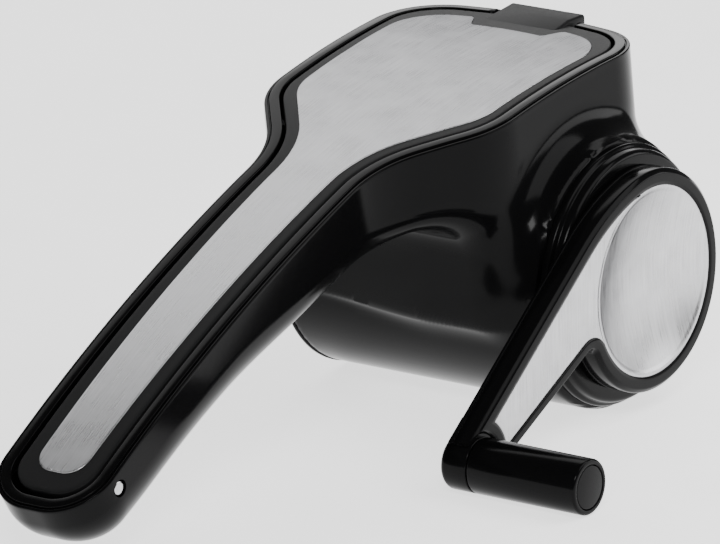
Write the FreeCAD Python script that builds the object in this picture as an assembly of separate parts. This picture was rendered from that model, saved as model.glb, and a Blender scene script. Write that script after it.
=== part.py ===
"""Rotary cheese grater: a hand-held tub with a drum under its hopper, a hinged pressing arm and a crank.

Millimetres. X runs along the drum's axis towards the crank, Y from the handle towards the head, and Z up.
The origin is on the table, under the drum's axis, in the mid-plane of the handle.
Each sub-part is written to parts/NODE.step.
"""

import FreeCAD, Part
import math
import os

V = FreeCAD.Vector

# ---- driving dimensions -------------------------------------------------------------------------

RIM_HEIGHT = 88.1  # top of the head above the table
AXIS_Z = 34.9  # drum axis above the table
HEAD_FAR_Y = 35.9  # far end of the head's top curve

TOP_R1, TOP_TURN1 = 325.0, 20.3  # arc of the top over the head and neck: radius, degrees
TOP_R2, TOP_TURN2 = 542.0, 12.4  # flatter arc of the top over the handle

HEAD_HALF = 38.0  # half width of the head at its rim
HEAD_FLARE_RIGHT = 3.6  # how much further out the crank side stands at the axis' height
HEAD_FLARE_LEFT = -1.6
HANDLE_HALF = 16.0
NECK_HALF = 16.9
HANDLE_DEPTH = 22.0  # from the rim to the underside
UNDER_ROUND = 7.0  # rounding of the handle's lower edges
THROAT_R = 17.0  # hollow between the handle's underside and the housing

HOUSING_R = 35.1
HOUSING_LEFT_X = -34.4
HOUSING_RIGHT_X = 46.4
HOUSING_WALL = 2.6
RIM_WIDTH = 4.0  # from the outside of the rim to the lid's recess
SEAT_DEPTH = 5.0  # depth of the lid's recess
FLOOR_DEPTH = 18.4  # top of the handle's floor, below the rim
PARTITION = 2.4  # wall between the hopper and the hollow handle

PIN_FROM_END = 14.6  # hinge pin, back from the handle's end along the top
PIN_DEPTH = 4.6  # hinge pin below the rim
PIN_R = 1.8
PIN_CLEARANCE = 0.06
PIN_HEAD_R = 1.85

LID_GAP = 0.8  # gap between the lid and the rim
LID_TAIL_GAP = 2.0  # wider gap at the hinge end
LID_SINK = 0.3  # the lid's top below the rim
LID_THICK = 3.6
INLAY_BORDER = 4.2  # black border round the lid's steel plate
INLAY_THICK = 0.5
TAB_HALF = 11.5  # half width of the lid's thumb tab
TAB_GAP = 0.6

DRUM_R = 30.6
DRUM_SHEET = 0.5
DRUM_LEFT_X, DRUM_RIGHT_X = -32.0, 37.5
FOOT_GAP = 0.9  # pressing foot to the drum

CRANK_BACK_X = 51.8
CRANK_FRONT_X = 58.4
DISH_R = 24.6
DISH_DEPTH = 4.2
CRANK_BORDER = 3.6  # black border round the crank's steel plate
CRANK_BACK_WALL = 1.2
REACH = 81.2  # drum axis to knob axis
REST_DROP = 19.8  # degrees the arm hangs below the level, the knob just clear of the table
KNOB_R = 7.1
KNOB_BACK_X, KNOB_SPLIT_X, KNOB_END_X = 50.3, 58.7, 90.8
KNOB_CUT_R = 9.7  # round cut in the arm about the knob's boss
SHAFT_HALF = 3.5  # half the width of the square drive shaft
FIT = 0.08  # clearance of parts that slide together

FAR = 400.0  # a length beyond the whole object

KNOB_Y = -REACH * math.cos(math.radians(REST_DROP))
KNOB_Z = AXIS_Z - REACH * math.sin(math.radians(REST_DROP))


# ---- helpers ------------------------------------------------------------------------------------


def rounded(vertices):
    """A closed flat wire through (x, y, radius) corners, each corner rounded to its radius."""
    count = len(vertices)
    points = [V(x, y, 0) for x, y, _ in vertices]
    cuts = []
    for i, (_, _, radius) in enumerate(vertices):
        corner = points[i]
        back = (points[i - 1] - corner).normalize()
        ahead = (points[(i + 1) % count] - corner).normalize()
        half = back.getAngle(ahead) / 2
        along = radius / math.tan(half)
        middle = (back + ahead).normalize()
        bulge = corner + middle * (radius / math.sin(half) - radius)
        cuts.append((corner + back * along, bulge, corner + ahead * along))
    edges = []
    for i in range(count):
        start, bulge, end = cuts[i]
        edges.append(Part.Arc(start, bulge, end).toShape())
        after = cuts[(i + 1) % count][0]
        if (after - end).Length > 1e-6:
            edges.append(Part.makeLine(end, after))
    return Part.Wire(edges)


def prism(wire, low, high):
    """The solid over a flat wire, from height low to height high."""
    base = wire.copy()
    base.translate(V(0, 0, low))
    return Part.Face(base).extrude(V(0, 0, high - low))


def round_x(radius, x0, x1, y=0.0, z=AXIS_Z):
    """A cylinder along X."""
    return Part.makeCylinder(radius, x1 - x0, V(x0, y, z), V(1, 0, 0))


def block(x0, x1, y0, y1, z0, z1):
    """A box between two corners."""
    return Part.makeBox(x1 - x0, y1 - y0, z1 - z0, V(x0, y0, z0))


def soften(shape, radius, wanted):
    """Fillets the edges that wanted(edge) picks; the shape stays as it was where the fillet can't be made."""
    edges = [e for e in shape.Edges if wanted(e)]
    try:
        made = shape.makeFillet(radius, edges)
        if made.isValid() and made.Volume > 0:
            return made
    except Exception as problem:
        print("fillet of", radius, "left out:", problem)
    return shape


def save(name, shape):
    """Writes one node's solids."""
    shape = shape.removeSplitter()
    solids = shape.Solids
    assert solids, name
    solid = solids[0] if len(solids) == 1 else Part.makeCompound(solids)
    assert all(s.isValid() for s in solids), name + " isn't valid"
    solid.exportStep(f"parts/{name}.step")
    print(f"{name}: {len(solids)} solid(s), {sum(s.Volume for s in solids) / 1000:.2f} cm3")


# ---- the top curve ------------------------------------------------------------------------------

CENTRE1 = V(0, HEAD_FAR_Y, RIM_HEIGHT - TOP_R1)
TURN1, TURN_END = math.radians(TOP_TURN1), math.radians(TOP_TURN1 + TOP_TURN2)


def normal(turn):
    """Outward normal of the top where it has turned down by this angle."""
    return V(0, -math.sin(turn), math.cos(turn))


CENTRE2 = CENTRE1 + normal(TURN1) * (TOP_R1 - TOP_R2)
TOP_END = CENTRE2 + normal(TURN_END) * TOP_R2
END_ALONG = V(0, -math.cos(TURN_END), -math.sin(TURN_END))  # along the handle, outwards


def top_point(turn, depth=0.0):
    """Point on the top curve, or depth below it, at this angle of turn."""
    if turn <= TURN1:
        return CENTRE1 + normal(turn) * (TOP_R1 - depth)
    return CENTRE2 + normal(turn) * (TOP_R2 - depth)


def top_edges(depth, first, last):
    """The curve depth below the top, from turn first to turn last, as one or two arcs."""
    stops = [first, TURN1, last] if first < TURN1 < last else [first, last]
    return [
        Part.Arc(top_point(a, depth), top_point((a + b) / 2, depth), top_point(b, depth)).toShape()
        for a, b in zip(stops, stops[1:])
    ]


def slab(upper, lower, first=-0.1, last=TURN_END + 0.1):
    """The layer between two depths below the top, right across X."""
    above, below = top_edges(upper, first, last), top_edges(lower, first, last)
    ends = [
        Part.makeLine(top_point(first, upper), top_point(first, lower)),
        Part.makeLine(top_point(last, upper), top_point(last, lower)),
    ]
    face = Part.Face(Part.Wire(Part.__sortEdges__(above + below + ends)))
    face.translate(V(-FAR, 0, 0))
    return face.extrude(V(2 * FAR, 0, 0))


# ---- outlines seen from above -------------------------------------------------------------------


def outline(inset=0.0, right=0.0, left=0.0, tail=-40.0):
    """The tub's outline, shrunk by inset, with the head's sides moved out by right and left."""
    r, l = HEAD_HALF - inset + right, HEAD_HALF - inset + left
    end = TOP_END.y + tail
    neck, hand = NECK_HALF - inset, HANDLE_HALF - inset
    return rounded(
        [
            (r + 0.2, 30.8 - inset * 0.9, 19.5 - inset * 0.8),
            (0.0, 37.5 - inset, 95.0 - inset * 3),
            (-l - 0.2, 30.8 - inset * 0.9, 19.5 - inset * 0.8),
            (-l + 1.3, -36.0 + inset * 0.4, 24.0 - inset * 0.6),
            (-neck, -59.6 + inset * 0.3, 30.0 + inset),
            (-hand, end, 0.5),
            (hand, end, 0.5),
            (neck, -59.6 + inset * 0.3, 30.0 + inset),
            (r - 1.3, -36.0 + inset * 0.4, 24.0 - inset * 0.6),
        ]
    )


def handle_tail(half, short):
    """A long bar across the handle with a round end, square to the top at the handle's end.

    half is the bar's half width, and short is how far its tip stops before the end of the top curve.
    """
    tip = TOP_END - END_ALONG * short
    up = normal(TURN_END)
    bar = Part.makeCylinder(half, 2 * FAR, tip - END_ALONG * half - up * FAR, up)
    long = Part.makeBox(2 * FAR, 2 * FAR, FAR)
    long.translate(V(-FAR, 0, -FAR / 2))
    turn = FreeCAD.Rotation(V(1, 0, 0), math.degrees(TURN_END))
    long.Placement = FreeCAD.Placement(tip - END_ALONG * half, turn).multiply(long.Placement)
    return bar.fuse(long)


# ---- main body ----------------------------------------------------------------------------------


def side_profile():
    """Side view of the outside: top, far wall, round housing, throat, underside and end."""
    throat = THROAT_R
    low = HANDLE_DEPTH
    # the underside meets the housing's front plane through an arc of radius THROAT_R
    front_y = -HOUSING_R
    arc_y = front_y - throat
    under_r = TOP_R1 - low - throat  # the arc's centre lies this far from the top arc's centre
    across = arc_y - CENTRE1.y
    arc_z = CENTRE1.z + math.sqrt(under_r**2 - across**2)
    centre = V(0, arc_y, arc_z)
    turn = math.atan2(-across, arc_z - CENTRE1.z)
    touch = top_point(turn, low)
    front = V(0, front_y, arc_z)
    half_way = (normal(turn) + V(0, 1, 0)).normalize()
    edges = [Part.Arc(touch, centre + half_way * throat, front).toShape()]
    edges.append(Part.makeLine(front, V(0, front_y, AXIS_Z)))
    edges.append(
        Part.Arc(V(0, front_y, AXIS_Z), V(0, 0, AXIS_Z - HOUSING_R), V(0, HOUSING_R, AXIS_Z)).toShape()
    )
    far_turn = -0.005
    far_top = top_point(far_turn)
    edges.append(Part.makeLine(V(0, HOUSING_R, AXIS_Z), V(0, far_top.y, AXIS_Z + 22)))
    edges.append(Part.makeLine(V(0, far_top.y, AXIS_Z + 22), far_top))
    edges += top_edges(0.0, far_turn, TURN_END)
    end_low = top_point(TURN_END, low)
    edges.append(Part.makeLine(TOP_END, end_low))
    edges += top_edges(low, turn, TURN_END)
    return Part.Wire(Part.__sortEdges__(edges))


def across_x(wire, x0, x1):
    """A side view carried across X."""
    face = Part.Face(wire)
    face.translate(V(x0, 0, 0))
    return face.extrude(V(x1 - x0, 0, 0))


def tub_outside():
    """Head, neck and handle: the outline's flared walls inside the side view."""
    low_wire = outline(0, HEAD_FLARE_RIGHT, HEAD_FLARE_LEFT)
    high_wire = outline(0, 0, 0)
    low_wire.translate(V(0, 0, AXIS_Z))
    high_wire.translate(V(0, 0, RIM_HEIGHT + 1))
    walls = Part.makeLoft([low_wire, high_wire], True, True)
    handle = prism(outline(0, 0, 0), -10, AXIS_Z).common(block(-FAR, FAR, -FAR, -HOUSING_R - 4, -20, AXIS_Z))
    solid = walls.fuse(handle).common(across_x(side_profile(), -60, 60))
    tail = handle_tail(HANDLE_HALF, 0.0)
    front = block(-FAR, FAR, TOP_END.y + 30, FAR, -FAR, FAR)
    solid = solid.common(front).fuse(solid.common(block(-FAR, FAR, -FAR, TOP_END.y + 30, -FAR, FAR)).common(tail))
    solid = solid.removeSplitter()

    def under_edge(edge):
        """Lower edges of the handle and its round end, back to the throat."""
        mid = edge.valueAt((edge.FirstParameter + edge.LastParameter) / 2)
        if mid.y > -60 or edge.BoundBox.YMax > -40:
            return False
        turn = math.atan2(-(mid.y - CENTRE2.y), mid.z - CENTRE2.z)
        if turn < TURN1:
            turn = math.atan2(-(mid.y - CENTRE1.y), mid.z - CENTRE1.z)
            depth = TOP_R1 - math.hypot(mid.y - CENTRE1.y, mid.z - CENTRE1.z)
        else:
            depth = TOP_R2 - math.hypot(mid.y - CENTRE2.y, mid.z - CENTRE2.z)
        return abs(depth - HANDLE_DEPTH) < 0.3 and abs(mid.x) > 1

    return soften(solid, UNDER_ROUND, under_edge)


PIN = TOP_END - END_ALONG * PIN_FROM_END - normal(TURN_END) * PIN_DEPTH
HOPPER_NEAR_R = (V(0, -HOUSING_R + HOUSING_WALL + 1.2, 47.0) - V(0, PIN.y, PIN.z)).Length


def inside(inset, upper, lower, tail_short):
    """What lies inside the outline by inset, between two depths below the top."""
    body = prism(outline(inset, 0, 0), -20, 120).common(slab(upper, lower))
    return body.common(handle_tail(HANDLE_HALF - inset, tail_short))


def body():
    """The moulded body: handle, hopper and drum housing in one shell."""
    solid = tub_outside().fuse(round_x(HOUSING_R, HOUSING_LEFT_X, HOUSING_RIGHT_X))
    solid = solid.common(block(-FAR, FAR, -FAR, FAR, 0, FAR)).removeSplitter()
    seat = inside(RIM_WIDTH, -2, SEAT_DEPTH, RIM_WIDTH)
    channel = inside(RIM_WIDTH, 2, FLOOR_DEPTH, RIM_WIDTH)
    channel = channel.common(round_x(HOPPER_NEAR_R - PARTITION, -FAR, FAR, PIN.y, PIN.z))
    hopper = prism(outline(RIM_WIDTH, 0, 0), AXIS_Z, RIM_HEIGHT + 5)
    hopper = hopper.cut(round_x(HOPPER_NEAR_R, -FAR, FAR, PIN.y, PIN.z))
    hopper = hopper.common(block(-HEAD_HALF, HEAD_HALF, -60, HOUSING_R - HOUSING_WALL, AXIS_Z, FAR))
    bore = round_x(HOUSING_R - HOUSING_WALL, HOUSING_LEFT_X - 10, HOUSING_RIGHT_X + 10)
    solid = solid.cut(seat).cut(channel).cut(hopper).cut(bore)
    notch = block(-TAB_HALF - TAB_GAP, TAB_HALF + TAB_GAP, 25, 60, RIM_HEIGHT - 4.2, RIM_HEIGHT + 5)
    solid = solid.cut(notch)
    solid = solid.cut(round_x(PIN_R, -FAR, FAR, PIN.y, PIN.z))
    for x0 in (-HANDLE_HALF - 1, HANDLE_HALF - 1.4):
        solid = solid.cut(round_x(2.3, x0, x0 + 2.4, PIN.y, PIN.z))
    return solid


# ---- pressing arm -------------------------------------------------------------------------------


def lid():
    """The arm's moulded plate, with its hinge barrel, thumb tab, stiffening ribs and plate recess."""
    edge = RIM_WIDTH + LID_GAP
    tail = RIM_WIDTH + LID_TAIL_GAP
    plate = inside(edge, LID_SINK, LID_SINK + LID_THICK, tail)
    tab = block(-TAB_HALF, TAB_HALF, 24, 38.6, RIM_HEIGHT - 3.6, RIM_HEIGHT + 0.9)
    tab = soften(tab, 1.2, lambda e: e.BoundBox.ZMin > RIM_HEIGHT or e.BoundBox.YMin > 38)
    plate = plate.fuse(tab)
    recess = inside(edge + INLAY_BORDER, LID_SINK - 2, LID_SINK + 0.8, tail + INLAY_BORDER)
    recess = recess.cut(block(-TAB_HALF - 0.4, TAB_HALF + 0.4, 23.2, 60, 0, FAR))
    barrel_half = HANDLE_HALF - RIM_WIDTH - 1.9
    barrel = round_x(PIN_R + 2.6, -barrel_half, barrel_half, PIN.y, PIN.z)
    plate = plate.fuse(barrel).cut(recess)
    for x in (-5.5, 5.5):
        rib = block(x - 0.8, x + 0.8, PIN.y, -46, 0, FAR).common(slab(LID_SINK + 1, 9.0))
        plate = plate.fuse(rib)
    plate = plate.cut(round_x(PIN_R + PIN_CLEARANCE, -FAR, FAR, PIN.y, PIN.z))
    top_cut = slab(-6, LID_SINK).cut(block(-TAB_HALF - 0.01, TAB_HALF + 0.01, 24, 60, 0, FAR))
    return plate.cut(top_cut)


def lid_inlay():
    """The arm's brushed steel plate."""
    edge = RIM_WIDTH + LID_GAP + INLAY_BORDER + 0.15
    tail = RIM_WIDTH + LID_TAIL_GAP + INLAY_BORDER + 0.15
    plate = inside(edge, LID_SINK + 0.1, LID_SINK + 0.1 + INLAY_THICK, tail)
    return plate.cut(block(-TAB_HALF - 0.55, TAB_HALF + 0.55, 23.05, 60, 0, FAR))


def lid_adhesive():
    """The film that holds the steel plate in the arm's recess."""
    edge = RIM_WIDTH + LID_GAP + INLAY_BORDER + 1.2
    tail = RIM_WIDTH + LID_TAIL_GAP + INLAY_BORDER + 1.2
    film = inside(edge, LID_SINK + 0.1 + INLAY_THICK, LID_SINK + 0.8, tail)
    return film.cut(block(-TAB_HALF - 1.6, TAB_HALF + 1.6, 22, 60, 0, FAR))


FOOT_NEAR_R = HOPPER_NEAR_R + 0.9
FOOT_FAR_Y = HOUSING_R - HOUSING_WALL - 1.6
FOOT_TOP_DEPTH = LID_SINK + LID_THICK
FOOT_SWING = 12.0  # how far the foot draws back while it rises out of the hopper


def foot_solid(wall):
    """The pressing foot's outside, shrunk by wall."""
    plan = prism(outline(RIM_WIDTH + 1.4 + wall, 0, 0), AXIS_Z + 8, RIM_HEIGHT)
    swung = plan.copy()
    swung.translate(V(0, FOOT_SWING, 0))
    plan = plan.common(swung)
    plan = plan.cut(round_x(FOOT_NEAR_R + wall, -FAR, FAR, PIN.y, PIN.z))
    plan = plan.common(block(-31.0 + wall, 31.0 - wall, -FAR, FOOT_FAR_Y - wall, 0, FAR))
    plan = plan.cut(round_x(DRUM_R + 1.3 + FOOT_GAP + wall, -FAR, FAR))
    return plan.common(block(-FAR, FAR, -FAR, FAR, AXIS_Z + 14, FAR)).common(slab(FOOT_TOP_DEPTH, 60))


def foot():
    """The hollow foot under the arm that presses the cheese on the drum, with grip bars."""
    shell = foot_solid(0.0)
    hollow = foot_solid(1.8).common(slab(FOOT_TOP_DEPTH - 1, 60))
    shell = shell.cut(hollow)
    for x in (-15.0, 0.0, 15.0):
        shell = shell.fuse(foot_solid(0.9).common(block(x - 0.7, x + 0.7, -FAR, FAR, 0, FAR)))
    bars = None
    for i in range(-4, 5):
        x = i * 6.6
        ring = round_x(DRUM_R + 1.3 + FOOT_GAP + 0.5, x - 0.6, x + 0.6)
        ring = ring.cut(round_x(DRUM_R + FOOT_GAP, -FAR, FAR))
        ring = ring.common(block(-FAR, FAR, -20, 20, AXIS_Z + 20, FAR))
        bars = ring if bars is None else bars.fuse(ring)
    shell = shell.fuse(bars)
    for x in (-22.5, 22.5):
        post = Part.makeCylinder(3.4, 40, V(x, 0, AXIS_Z + DRUM_R + 3)).common(slab(FOOT_TOP_DEPTH, 60))
        shell = shell.fuse(post)
        shell = shell.cut(Part.makeCylinder(1.35, 40, V(x, 0, AXIS_Z + DRUM_R + 8)))
    return shell


def foot_screws():
    """Two short screws from the arm's recess into the foot's posts, under the steel plate."""
    made = []
    for x in (-22.5, 22.5):
        head_top = top_point(math.asin((HEAD_FAR_Y - 0.0) / TOP_R1), LID_SINK + 1.1).z
        head = Part.makeCylinder(2.6, 1.2, V(x, 0, head_top - 1.2))
        stem = Part.makeCylinder(1.35, 9.0, V(x, 0, head_top - 1.2 - 9.0))
        made.append(head.fuse(stem))
    return Part.makeCompound(made)


def hinge_pin():
    """The steel pin through the handle's end."""
    pin = round_x(PIN_R, -HANDLE_HALF + 0.5, HANDLE_HALF - 0.5, PIN.y, PIN.z)
    for x0, x1 in ((-HANDLE_HALF + 0.2, -HANDLE_HALF + 0.7), (HANDLE_HALF - 0.7, HANDLE_HALF - 0.2)):
        pin = pin.fuse(round_x(PIN_HEAD_R, x0, x1, PIN.y, PIN.z))
    return pin


# ---- drum ---------------------------------------------------------------------------------------


def drum_sheet():
    """The drum's rolled steel sheet."""
    return round_x(DRUM_R, DRUM_LEFT_X + 1.5, DRUM_RIGHT_X - 1.5).cut(
        round_x(DRUM_R - DRUM_SHEET, DRUM_LEFT_X, DRUM_RIGHT_X)
    )


def drum_ring():
    """The plastic ring at the drum's open end, with a groove for the sheet."""
    ring = round_x(DRUM_R + 0.9, DRUM_LEFT_X - 1.8, DRUM_LEFT_X + 3.2)
    ring = ring.cut(round_x(DRUM_R - 2.4, DRUM_LEFT_X - 5, DRUM_LEFT_X + 5))
    groove = round_x(DRUM_R + 0.02, DRUM_LEFT_X + 1.5, DRUM_LEFT_X + 5)
    return ring.cut(groove.cut(round_x(DRUM_R - DRUM_SHEET - 0.02, DRUM_LEFT_X, DRUM_LEFT_X + 6)))


def drum_end():
    """The drum's closed end: a disc with a rim groove, spokes and a square socket."""
    rim = round_x(DRUM_R + 0.9, DRUM_RIGHT_X - 3.2, DRUM_RIGHT_X + 2.2)
    rim = rim.cut(round_x(DRUM_R - 2.4, DRUM_RIGHT_X - 5, DRUM_RIGHT_X + 0.2))
    rim = rim.fuse(round_x(8.0, DRUM_RIGHT_X - 12, DRUM_RIGHT_X + 2.2))
    for i in range(6):
        web = block(DRUM_RIGHT_X - 5, DRUM_RIGHT_X + 0.5, 7.0, DRUM_R - 2.0, AXIS_Z - 0.8, AXIS_Z + 0.8)
        web.rotate(V(0, 0, AXIS_Z), V(1, 0, 0), 30 + 60 * i)
        rim = rim.fuse(web)
    groove = round_x(DRUM_R + 0.02, DRUM_RIGHT_X - 5, DRUM_RIGHT_X - 1.5)
    rim = rim.cut(groove.cut(round_x(DRUM_R - DRUM_SHEET - 0.02, DRUM_RIGHT_X - 6, DRUM_RIGHT_X)))
    half = SHAFT_HALF + FIT
    return rim.cut(block(DRUM_RIGHT_X - 10, FAR, -half, half, AXIS_Z - half, AXIS_Z + half))


# ---- bearing side -------------------------------------------------------------------------------

BUSH_OUT_R, BUSH_IN_R = 11.0, 9.2
CAP_FLANGE_X = HOUSING_RIGHT_X + 0.1


def side_cap():
    """The cover that closes the housing's crank side and carries the bearing bush."""
    flange = round_x(HOUSING_R - 1.3, CAP_FLANGE_X, CRANK_BACK_X - 0.7)
    flange = soften(flange, 1.6, lambda e: e.BoundBox.XMin > CRANK_BACK_X - 1)
    spigot = round_x(HOUSING_R - HOUSING_WALL, DRUM_RIGHT_X + 3.4, CAP_FLANGE_X)
    cap = flange.fuse(spigot)
    pocket = round_x(HOUSING_R - HOUSING_WALL - 2.4, DRUM_RIGHT_X + 3, CRANK_BACK_X - 3.4)
    pocket = pocket.cut(round_x(BUSH_OUT_R + 2.2, 0, FAR))
    for i in range(6):
        web = block(0, FAR, 0, HOUSING_R, AXIS_Z - 0.8, AXIS_Z + 0.8)
        web.rotate(V(0, 0, AXIS_Z), V(1, 0, 0), 60 * i)
        pocket = pocket.cut(web)
    return cap.cut(pocket).cut(round_x(BUSH_OUT_R, 0, FAR))


def hub_bush():
    """The slippery plastic bush in the side cap, with a flange towards the drum."""
    bush = round_x(BUSH_OUT_R, DRUM_RIGHT_X + 3.4, CRANK_BACK_X - 0.7)
    return bush.cut(round_x(BUSH_IN_R, 0, FAR))


# ---- crank --------------------------------------------------------------------------------------


def at_rest(shape):
    """Turns a crank shape, drawn with its arm level along -Y, to its rest angle."""
    turned = shape.copy()
    turned.rotate(V(0, 0, AXIS_Z), V(1, 0, 0), REST_DROP)
    return turned


def crank_plan(grow, x0, x1):
    """The comma-shaped plan of the crank, grown by grow beyond its steel plate, from x0 to x1."""
    disc = round_x(DISH_R + grow, x0, x1)
    lower = grow * 0.8
    wire = rounded(
        [
            (3.0, DISH_R - 0.35 + grow, 0.2),
            (-11.4, DISH_R + 0.4 + grow, 60.0),
            (-84.0, 3.1 + grow * 1.05, 0.2),
            (-84.0, -3.5 - lower, 0.2),
            (-18.0, 4.0 - lower, 0.2),
            (2.0, 0.0, 0.2),
        ]
    )
    arm = prism(wire, x0, x1)
    arm.rotate(V(0, 0, 0), V(1, 1, 1), 120)
    arm.translate(V(0, 0, AXIS_Z))
    plan = disc.fuse(arm).removeSplitter()

    def inner_corner(edge):
        """The hollow where the arm's lower edge meets the disc."""
        mid = edge.valueAt((edge.FirstParameter + edge.LastParameter) / 2)
        near = abs(math.hypot(mid.y, mid.z - AXIS_Z) - (DISH_R + grow)) < 0.05
        return near and mid.z < AXIS_Z + 8 and mid.y < 0 and edge.BoundBox.XLength > x1 - x0 - 0.1

    plan = soften(plan, max(7.0 - grow, 1.5), inner_corner)
    plan = plan.cut(round_x(KNOB_CUT_R + 3.6 - grow, x0 - 1, x1 + 1, -REACH, AXIS_Z))
    return at_rest(plan)


def dish_tool(depth, rim_r, x_face):
    """A shallow bowl sunk from the face at x_face."""
    radius = (rim_r**2 + depth**2) / (2 * depth)
    ball = Part.makeSphere(radius, V(x_face + radius - depth, 0, AXIS_Z))
    return ball.common(round_x(rim_r, x_face - depth - 1, x_face + 1))


def crank_front():
    """The crank's front shell, hollow behind, with the plate's recess and the bowl's floor."""
    shell = crank_plan(CRANK_BORDER, CRANK_BACK_X + CRANK_BACK_WALL + 0.05, CRANK_FRONT_X)
    shell = soften(shell, 1.0, lambda e: e.BoundBox.XMin > CRANK_FRONT_X - 0.01)
    hollow = crank_plan(CRANK_BORDER - 2.0, CRANK_BACK_X, CRANK_FRONT_X - 2.6).cut(round_x(DISH_R + 1.0, 0, FAR))
    shell = shell.cut(hollow).cut(crank_plan(0.1, CRANK_FRONT_X - 1.1, CRANK_FRONT_X + 1))
    shell = shell.cut(dish_tool(DISH_DEPTH, DISH_R - 0.4, CRANK_FRONT_X - 1.1))
    return shell.cut(round_x(9.0, 0, FAR))


def crank_inlay():
    """The crank's brushed steel plate with its pressed bowl."""
    thick = 0.5
    flat = crank_plan(0.0, CRANK_FRONT_X - 0.9, CRANK_FRONT_X - 0.9 + thick)
    outer = dish_tool(DISH_DEPTH, DISH_R - 0.5, CRANK_FRONT_X - 0.9 + thick)
    inner = dish_tool(DISH_DEPTH, DISH_R - 0.5, CRANK_FRONT_X - 0.9)
    bowl = inner.fuse(flat).cut(outer)
    return bowl


def crank_adhesive():
    """The film between the steel plate and the front shell, on the arm."""
    film = crank_plan(-1.6, CRANK_FRONT_X - 1.1, CRANK_FRONT_X - 0.9)
    return film.cut(round_x(DISH_R + 1.0, 0, FAR))


def crank_back():
    """The crank's back cover with the hub that turns in the bush and the boss that carries the knob."""
    plate_end = CRANK_BACK_X + CRANK_BACK_WALL
    plate = crank_plan(CRANK_BORDER, CRANK_BACK_X, plate_end)
    hub = round_x(BUSH_IN_R - FIT, DRUM_RIGHT_X + 3.4, CRANK_BACK_X + 0.5)
    boss = round_x(KNOB_R, KNOB_BACK_X, KNOB_SPLIT_X - 0.3, KNOB_Y, KNOB_Z)
    boss = soften(boss, 1.8, lambda e: e.BoundBox.XMax < KNOB_BACK_X + 0.01)
    bridge = block(CRANK_BACK_X, plate_end, -REACH, -REACH + 16, AXIS_Z - 3.6, AXIS_Z + 4.6)
    solid = plate.fuse(hub).fuse(boss).fuse(at_rest(bridge))
    half = SHAFT_HALF
    solid = solid.cut(block(0, CRANK_BACK_X - 0.6, -half, half, AXIS_Z - half, AXIS_Z + half))
    solid = solid.cut(round_x(1.4, 0, FAR)).cut(round_x(3.0, CRANK_BACK_X + 0.4, plate_end + 1))
    return solid.cut(round_x(2.5, 0, FAR, KNOB_Y, KNOB_Z))


def drive_shaft():
    """The square steel shaft that carries the crank's turn into the drum."""
    half = SHAFT_HALF
    end = CRANK_BACK_X - 0.6
    bar = block(DRUM_RIGHT_X - 9.4, end, -half, half, AXIS_Z - half, AXIS_Z + half)
    groove = round_x(10, DRUM_RIGHT_X - 5, DRUM_RIGHT_X - 4).cut(round_x(4.2, 0, FAR))
    return bar.cut(groove).cut(round_x(1.3, end - 8.4, FAR))


def shaft_screw():
    """The screw that holds the shaft to the crank, from inside the shell."""
    head = round_x(2.9, CRANK_BACK_X + 0.4, CRANK_BACK_X + CRANK_BACK_WALL)
    return head.fuse(round_x(1.3, CRANK_BACK_X - 8, CRANK_BACK_X + 0.5))


def crank_screws():
    """Three small screws, let into the back cover, that hold the crank's two shells together."""
    made = []
    for y, z in ((-31.5, 15.5), (12.0, 23.6), (12.0, -23.6)):
        head = round_x(1.5, CRANK_BACK_X + 0.1, CRANK_BACK_X + 0.8, y, z + AXIS_Z)
        stem = round_x(0.8, CRANK_BACK_X + 0.7, CRANK_BACK_X + 3.2, y, z + AXIS_Z)
        made.append(at_rest(head.fuse(stem)))
    return Part.makeCompound(made)


# ---- knob ---------------------------------------------------------------------------------------


def knob_axle():
    """The steel axle pressed in the crank's boss, with a head that keeps the grip on."""
    axle = round_x(2.5, KNOB_BACK_X + 0.4, KNOB_END_X - 4.0, KNOB_Y, KNOB_Z)
    return axle.fuse(round_x(3.9, KNOB_END_X - 5.2, KNOB_END_X - 4.0, KNOB_Y, KNOB_Z))


def knob_washer():
    """The thin washer under the axle's head."""
    ring = round_x(3.9, KNOB_END_X - 5.7, KNOB_END_X - 5.25, KNOB_Y, KNOB_Z)
    return ring.cut(round_x(2.5, 0, FAR, KNOB_Y, KNOB_Z))


def knob_grip():
    """The turning grip, bored through and counterbored for the axle's head."""
    grip = round_x(KNOB_R, KNOB_SPLIT_X, KNOB_END_X, KNOB_Y, KNOB_Z)
    grip = soften(grip, 0.9, lambda e: e.BoundBox.XMin > KNOB_END_X - 0.01)
    grip = grip.cut(round_x(2.5 + 0.06, 0, FAR, KNOB_Y, KNOB_Z))
    grip = grip.cut(round_x(4.2, KNOB_END_X - 5.9, FAR, KNOB_Y, KNOB_Z))
    return grip.cut(round_x(5.6, KNOB_END_X - 1.6, FAR, KNOB_Y, KNOB_Z))


def knob_cap():
    """The plug that closes the grip's end."""
    cap = round_x(5.6, KNOB_END_X - 1.6, KNOB_END_X - 0.1, KNOB_Y, KNOB_Z)
    skirt = round_x(4.2, KNOB_END_X - 3.4, KNOB_END_X - 1.5, KNOB_Y, KNOB_Z)
    return cap.fuse(skirt.cut(round_x(3.2, 0, KNOB_END_X - 1.6, KNOB_Y, KNOB_Z)))


# ---- build --------------------------------------------------------------------------------------


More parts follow.
